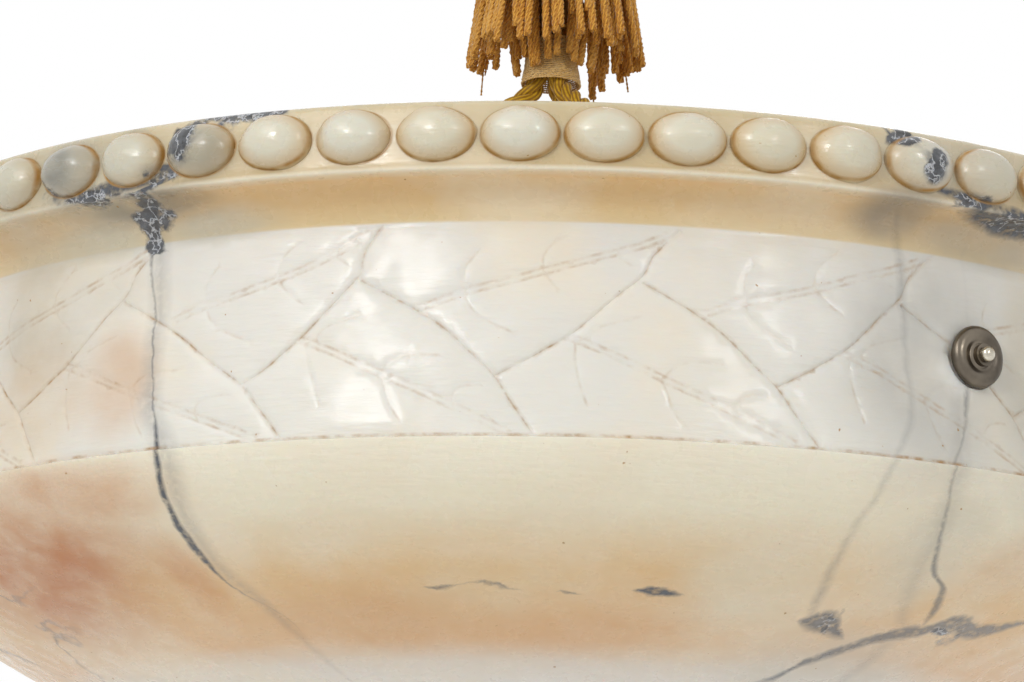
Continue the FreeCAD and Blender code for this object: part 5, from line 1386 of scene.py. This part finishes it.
        near = self.nearest(spots, tables)
        gap = np.minimum.reduce([near[cut] for cut in Cut])
        points += [tuple(p) for p, g in zip(spots, gap) if g > 0.4]
        ring = [(-half + 2 * half * k / self.columns) for k in range(self.columns + 1)]
        first = len(points)
        points += [(x, top) for x in ring] + [(x, self.band_bottom) for x in ring]
        edges += [(first + k, first + k + 1) for k in range(self.columns)]
        second = first + len(ring)
        edges += [(second + k, second + k + 1) for k in range(self.columns)]
        sides = [top + (self.band_bottom - top) * k / 24 for k in range(1, 24)]
        for x, end in ((-half, 0), (half, self.columns)):
            begin = len(points)
            points += [(x, y) for y in sides]
            edges += [(begin + k, begin + k + 1) for k in range(len(sides) - 1)]
            edges += [(first + end, begin), (begin + len(sides) - 1, second + end)]
        flat_points, _, faces, *_ = delaunay_2d_cdt([Vector(p) for p in points], edges, [], 0, 1e-4)
        spots = np.array([tuple(p) for p in flat_points])
        middles = np.array([spots[list(f)].mean(0) for f in faces])
        keep = (abs(middles[:, 0]) < half) & (middles[:, 1] > top) & (middles[:, 1] < self.band_bottom)
        spots[spots[:, 0] > half - 1e-3, 0] = -half
        near = self.nearest(spots, tables)
        vertices, groove = [], []
        for k, (x, y) in enumerate(spots):
            lift, dirt = self.relief(x / degree, y, top, {cut: near[cut][k] for cut in Cut})
            share = (y - top) / (self.band_bottom - top)
            r = top_r + (self.band_bottom_r - top_r) * share + lift
            vertices.append(at_azimuth(self.seated(x / degree, y, r) * MM, RIM_Z - y * MM, x / degree))
            groove.append(dirt)
        return vertices, [tuple(f) for f, kept in zip(faces, keep) if kept], groove

    def fill(self, half: float, top: float) -> list[Point]:
        """Return the points between the cuts, about 3 mm apart, and rings round the bolts' seats."""
        spacing = 3.0
        points = []
        for row in range(int((self.band_bottom - top) / (spacing * 0.87))):
            y = top + 1.5 + row * spacing * 0.87
            shift = spacing / 2 * (row % 2)
            points += [(-half + shift + spacing * k, y) for k in range(int(2 * half / spacing))]
        degree = half / 180
        for azimuth in ROPE_AZIMUTHS.values():
            centre = ((azimuth + 180) % 360 - 180) * degree
            for r in (self.seat_r, self.seat_r + 0.4):
                points += [(centre + r * math.cos(TURN * k / 48),
                            self.bolt_down + r * math.sin(TURN * k / 48)) for k in range(48)]
        return points

    def segment_tables(self, segments: Sequence[tuple[Cut, np.ndarray, np.ndarray]]) -> dict[Cut, np.ndarray]:
        """Return each kind of cut's segments as rows of start and end."""
        return {cut: np.array([(*a, *b) for kind, a, b in segments if kind is cut]) for cut in Cut}

    def nearest(self, spots: np.ndarray, tables: Mapping[Cut, np.ndarray]) -> dict[Cut, np.ndarray]:
        """Return each spot's distance to the nearest cut of every kind, in millimetres."""
        order = np.argsort(spots[:, 0])
        result = {cut: np.full(len(spots), 99.0) for cut in Cut}
        for chunk in np.array_split(order, 160):
            low, high = spots[chunk, 0].min() - 12, spots[chunk, 0].max() + 12
            for cut, rows in tables.items():
                close = rows[(np.maximum(rows[:, 0], rows[:, 2]) > low)
                             & (np.minimum(rows[:, 0], rows[:, 2]) < high)]
                if not len(close):
                    continue
                start, step = close[None, :, :2], (close[:, 2:] - close[:, :2])[None]
                away = spots[chunk][:, None, :] - start
                share = ((away * step).sum(2) / np.maximum((step ** 2).sum(2), 1e-9)).clip(0, 1)
                result[cut][chunk] = np.linalg.norm(away - share[..., None] * step, axis=2).min(1)
        return result

    def relief(self, azimuth: float, down: float, top: float, near: Mapping[Cut, float]) -> Point:
        """Return how far the carved surface stands out at a place, and how much dirt its cut holds."""
        margin = min(1.0, (down - top) / 1.2, (self.band_bottom - down) / 1.2)
        place = at_azimuth(LEAF_BAND_R, down, azimuth)
        lift = 0.5 * (1 - math.exp(-near[Cut.EDGE] / 5.0)) + 0.1 * (1 - math.exp(-near[Cut.RIB] / 3.0))
        lift += 0.62 * noise.noise(place / 15.0) + 0.2 * noise.noise(place / 6.0 + Vector((7, 3, 1)))
        depth = 0.0
        for cut in Cut:
            deep, breadth = cut.value
            depth = max(depth, deep * max(0.0, 1 - near[cut] / breadth) ** 1.2)
        dirt = max(0.0, 1 - near[Cut.EDGE] / 0.6, 0.6 * (1 - near[Cut.RIB] / 0.5),
                   0.35 * (1 - near[Cut.VEIN] / 0.5))
        return (lift - depth - 0.25) * max(0.0, margin), dirt

    def seated(self, azimuth: float, down: float, r: float) -> float:
        """Return the radius, or the flat seat's where a bolt goes through."""
        for bolt in ROPE_AZIMUTHS.values():
            away = math.radians((azimuth - bolt + 180) % 360 - 180)
            if math.hypot(away * self.seat_rho, down - self.bolt_down) < self.seat_r + 0.05:
                return self.seat_rho / math.cos(away)
        return r

    def stain(self, mesh: bpy.types.Mesh) -> None:
        """Write the clouds of colour, the marbled places and the unseen sides onto a stone mesh."""
        count = len(mesh.vertices)
        place = np.empty(count * 3)
        mesh.vertices.foreach_get("co", place)
        x, y, z = place.reshape(-1, 3).T
        around = np.degrees(np.arctan2(x, -y))
        down = (RIM_Z - z) / MM
        outside = np.hypot(x, y) > 0.1965 - np.clip((down - 90) / 75, 0, 1) * 0.2
        colour, amount = np.ones((count, 3)), np.zeros(count)
        for patch in PATCHES:
            part = self.cloud(patch, around, down) * outside
            colour += (np.array(linear(patch.colour)[:3]) - colour) * np.where(
                part + amount > 0, part / np.maximum(part + amount, 1e-6), 0)[:, None]
            amount = np.maximum(amount, part)
        marble = np.zeros(count)
        for patch in MARBLED:
            marble = np.maximum(marble, self.cloud(patch, around, down) * outside)
        wild = np.clip((np.abs(around) - 50) / 12, 0, 1)
        tint = mesh.attributes.new(Stain.TINT.value, "FLOAT_COLOR", "POINT")
        tint.data.foreach_set("color", np.column_stack([colour, amount]).ravel())
        for key, values in ((Stain.MARBLE, marble), (Stain.WILD, wild)):
            mesh.attributes.new(key.value, "FLOAT", "POINT").data.foreach_set("value", values)

    def cloud(self, patch: Patch, around: np.ndarray, down: np.ndarray) -> np.ndarray:
        """Return how strong a patch is at each vertex."""
        reach = np.hypot((around - patch.azimuth) / patch.half_round, (down - patch.down) / patch.half_down)
        fade = np.clip(1.35 - reach, 0, 1)
        return patch.amount * fade * fade * (3 - 2 * fade)

    def body(self) -> None:
        """Build the bowl as one closed skin: turned surfaces with the carved band between them."""
        material = material_of(STONE)
        _, bottom, radius, _ = self.bottom_arcs()
        vertices, faces, groove = self.band()
        inner = [0.0] * len(vertices)
        for rows, pole in ((self.lower_rows(), self.depth),
                           (self.upper_rows(), bottom[1] + radius - self.wall)):
            more, skin = self.turned(rows, pole)
            start = len(vertices)
            vertices += more
            faces += [tuple(start + k for k in face) for face in skin]
            groove += [0.0] * len(more)
            inner += [float(pole < self.depth and v.xy.length < (self.inner_r + 0.1) * MM) for v in more]
        mesh = bpy.data.meshes.new("carved_bowl")
        mesh.from_pydata([tuple(v) for v in vertices], [], faces)
        for key, values in (("groove", groove), ("inner", inner)):
            mesh.attributes.new(key, "FLOAT", "POINT").data.foreach_set("value", values)
        shape = bmesh.new()
        shape.from_mesh(mesh)
        bmesh.ops.remove_doubles(shape, verts=shape.verts, dist=2e-5)
        bmesh.ops.recalc_face_normals(shape, faces=shape.faces)
        open_edges = sum(1 for edge in shape.edges if len(edge.link_faces) != 2)
        shape.to_mesh(mesh)
        shape.free()
        mesh.materials.append(material)
        mesh.shade_smooth()
        mesh.set_sharp_from_angle(angle=math.radians(50))
        self.stain(mesh)
        piece = link_mesh("carved_bowl", mesh)
        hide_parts("alabaster_bowl")
        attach(piece, "pendant")
        LOG.info("bowl: %d faces, %d open edges", len(mesh.polygons), open_edges)

    def bead_tree(self) -> bpy.types.NodeTree:
        """Return the tree that sets carved beads in a ring."""
        tree, given = geometry_tree("bead_ring", {
            "Count": "NodeSocketInt", "Ring Radius": "NodeSocketFloat", "Height": "NodeSocketFloat",
            "First Angle": "NodeSocketFloat", "Half Sizes": "NodeSocketVector", "Jitter": "NodeSocketFloat",
            "Seed": "NodeSocketInt", "Material": "NodeSocketMaterial"})
        start = given.outputs
        circle = add_node(tree, "GeometryNodeMeshCircle", {"Vertices": start["Count"],
                                                           "Radius": start["Ring Radius"]}).outputs[0]
        lift = add_node(tree, "ShaderNodeCombineXYZ", {"Z": start["Height"]}).outputs[0]
        turn = add_node(tree, "ShaderNodeCombineXYZ", {"Z": start["First Angle"]}).outputs[0]
        placed = add_node(tree, "GeometryNodeTransform", {"Geometry": circle, "Translation": lift,
                                                          "Rotation": turn}).outputs[0]
        egg = add_node(tree, "GeometryNodeMeshUVSphere", {
            "Segments": 32, "Rings": 20, "Radius": 1.0}).outputs["Mesh"]
        shaped = add_node(tree, "GeometryNodeTransform", {
            "Geometry": egg, "Scale": start["Half Sizes"]}).outputs[0]
        place = add_node(tree, "GeometryNodeInputPosition").outputs[0]
        level = add_node(tree, VECTOR, (place, (1.0, 1.0, 0.0)), operation="MULTIPLY").outputs[0]
        outward = add_node(tree, "FunctionNodeAlignRotationToVector", {"Vector": level}, axis="X",
                           pivot_axis="Z").outputs[0]
        small = add_node(tree, MATH, (1.0, start["Jitter"]), operation="SUBTRACT").outputs[0]
        large = add_node(tree, MATH, (1.0, start["Jitter"]), operation="ADD").outputs[0]
        size = add_node(tree, "FunctionNodeRandomValue", {0: small, 1: large, "Seed": start["Seed"]},
                        data_type="FLOAT_VECTOR").outputs[0]
        ring = add_node(tree, "GeometryNodeInstanceOnPoints", {"Points": placed, "Instance": shaped,
                                                               "Rotation": outward, "Scale": size}).outputs[0]
        real = add_node(tree, "GeometryNodeRealizeInstances", {"Geometry": ring}).outputs[0]
        rough = add_node(tree, "ShaderNodeTexNoise", {"Vector": place, "Scale": 95.0, "Detail": 1.0})
        centred = add_node(tree, VECTOR, (rough.outputs["Color"], (0.5, 0.5, 0.5)),
                           operation="SUBTRACT").outputs[0]
        uneven = add_node(tree, VECTOR, {0: centred, "Scale": 1.6 * MM}, operation="SCALE").outputs[0]
        carved = add_node(tree, "GeometryNodeSetPosition", {"Geometry": real, "Offset": uneven}).outputs[0]
        finish_tree(tree, carved, start["Material"])
        return tree

    def beads(self) -> None:
        """Set the beads round the rim."""
        seedling = link_mesh("bead_source", bpy.data.meshes.new("bead_source"))
        piece = grown(seedling, self.bead_tree(), {
            "Count": self.bead_count, "Ring Radius": self.bead_rho * MM,
            "Height": RIM_Z - self.bead_down * MM, "First Angle": math.radians(self.bead_first - 90),
            "Half Sizes": [h * MM for h in self.bead_half], "Jitter": 0.035, "Seed": 5,
            "Material": material_of(STONE)}, "carved_beads")
        self.stain(piece.data)
        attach(piece, "pendant")
        LOG.info("beads: %d faces", len(piece.data.polygons))

    def build(self) -> None:
        """Make the bowl and its beads."""
        self.body()
        self.beads()


# ---- brass, lamps and fixings ----------------------------------------------
@dataclass(frozen=True)
class Rosettes:
    """The domed plates on the three wall bolts, dished round their nuts, and the bolts' round tips."""

    foot_rho: float = 214.4
    down: float = 57.4
    segments: int = 64
    plate: tuple[Point, ...] = (
        (2.15, 0.0), (8.3, 0.0), (8.6, 0.45), (8.68, 1.1), (8.45, 1.9), (7.85, 2.6), (6.95, 3.05),
        (5.9, 3.15), (5.0, 2.9), (4.4, 2.5), (3.9, 2.3), (3.45, 2.35), (3.25, 2.95), (2.15, 2.95))
    tip: tuple[Point, ...] = (
        (0.0, 4.7), (2.1, 4.7), (2.14, 5.5), (1.98, 6.1), (1.55, 6.65), (0.85, 7.0), (0.0, 7.1))

    def turned(self, name: str, outline: Sequence[Point], finish: Finish) -> bpy.types.Object:
        """Turn a closed outline of radius and rise about each wall bolt, as one piece."""
        vertices, faces = [], []
        rows, n = len(outline), self.segments
        for azimuth in ROPE_AZIMUTHS.values():
            start = len(vertices)
            out = at_azimuth(1.0, 0.0, azimuth)
            side = out.cross(Vector((0, 0, 1)))
            for r, rise in outline:
                middle = out * (self.foot_rho + rise) * MM + Vector((0, 0, RIM_Z - self.down * MM))
                for k in range(n):
                    angle = TURN * k / n
                    spoke = side * math.cos(angle) + Vector((0, 0, math.sin(angle)))
                    vertices.append(middle + spoke * r * MM)
            for i in range(rows):
                this, other = start + i * n, start + (i + 1) % rows * n
                faces += [(this + k, this + (k + 1) % n, other + (k + 1) % n, other + k) for k in range(n)]
        piece = link_mesh(name, mesh_from(name, vertices, faces, material_of(finish)))
        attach(piece, "pendant")
        return piece

    def build(self) -> None:
        """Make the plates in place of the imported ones, and set the round tips."""
        plates = self.turned("domed_rosettes", self.plate, PATINA)
        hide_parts(*("rosette_" + side for side in ROPE_AZIMUTHS))
        self.turned("round_stud_tips", self.tip, NICKEL)


@dataclass(frozen=True)
class Fittings:
    """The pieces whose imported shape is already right: each gets its real finish."""

    finishes: Mapping[str, Finish] = field(default_factory=lambda: {
        "ceiling_plate": BRASS, "hook_bush": BRONZE, "flex_bush": RUBBER, "terminal_block": CERAMIC,
        "swivel_hook": BRASS, "hook_nut": STEEL, "shackle_pin": STEEL, "shackle_nut": STEEL, "shackle": BRASS,
        "rope_cap": BRASS, "cap_screws": STEEL, "rope_cup": BRASS, "cup_screws": STEEL, "rope_ferrule": BRASS,
        "eye_bolts": NICKEL, "inner_felt_washers": FELT, "outer_felt_washers": FELT, "rosette_nuts": PATINA,
        "lamp_frame": PAINTED, "frame_screws": STEEL, "lamp_cluster": BRASS,
        "cluster_cover": BRASS, "cluster_gland": BRASS, "cluster_nipples": STEEL, "lampholder_shell": BRASS,
        "lampholder_liner": CERAMIC, "shade_ring": BRASS, "lamp_cap": NICKEL, "bulb": GLASS})

    def dress(self, nodes: Mapping[str, bpy.types.Object]) -> None:
        """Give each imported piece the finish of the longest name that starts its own."""
        for name, piece in nodes.items():
            known = [key for key in self.finishes if name.startswith(key)]
            if not known:
                continue
            material = material_of(self.finishes[max(known, key=len)])
            if not piece.material_slots:
                piece.data.materials.append(material)
            for place in piece.material_slots:
                place.material = material


def main() -> None:
    """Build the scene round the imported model."""
    logging.basicConfig(level=logging.INFO, format="%(message)s")
    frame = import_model()
    studio = Studio()
    studio.camera()
    cord_tree = twisted_cord_tree()
    SilkRopes(cord_tree).build(frame["nodes"])
    Whipping(cord_tree).build()
    Tassel(cord_tree).build()
    Bowl().build()
    Rosettes().build()
    Fittings().dress(frame["nodes"])
    studio.light()
    studio.floor()
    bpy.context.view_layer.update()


if __name__ == "__main__":
    main()
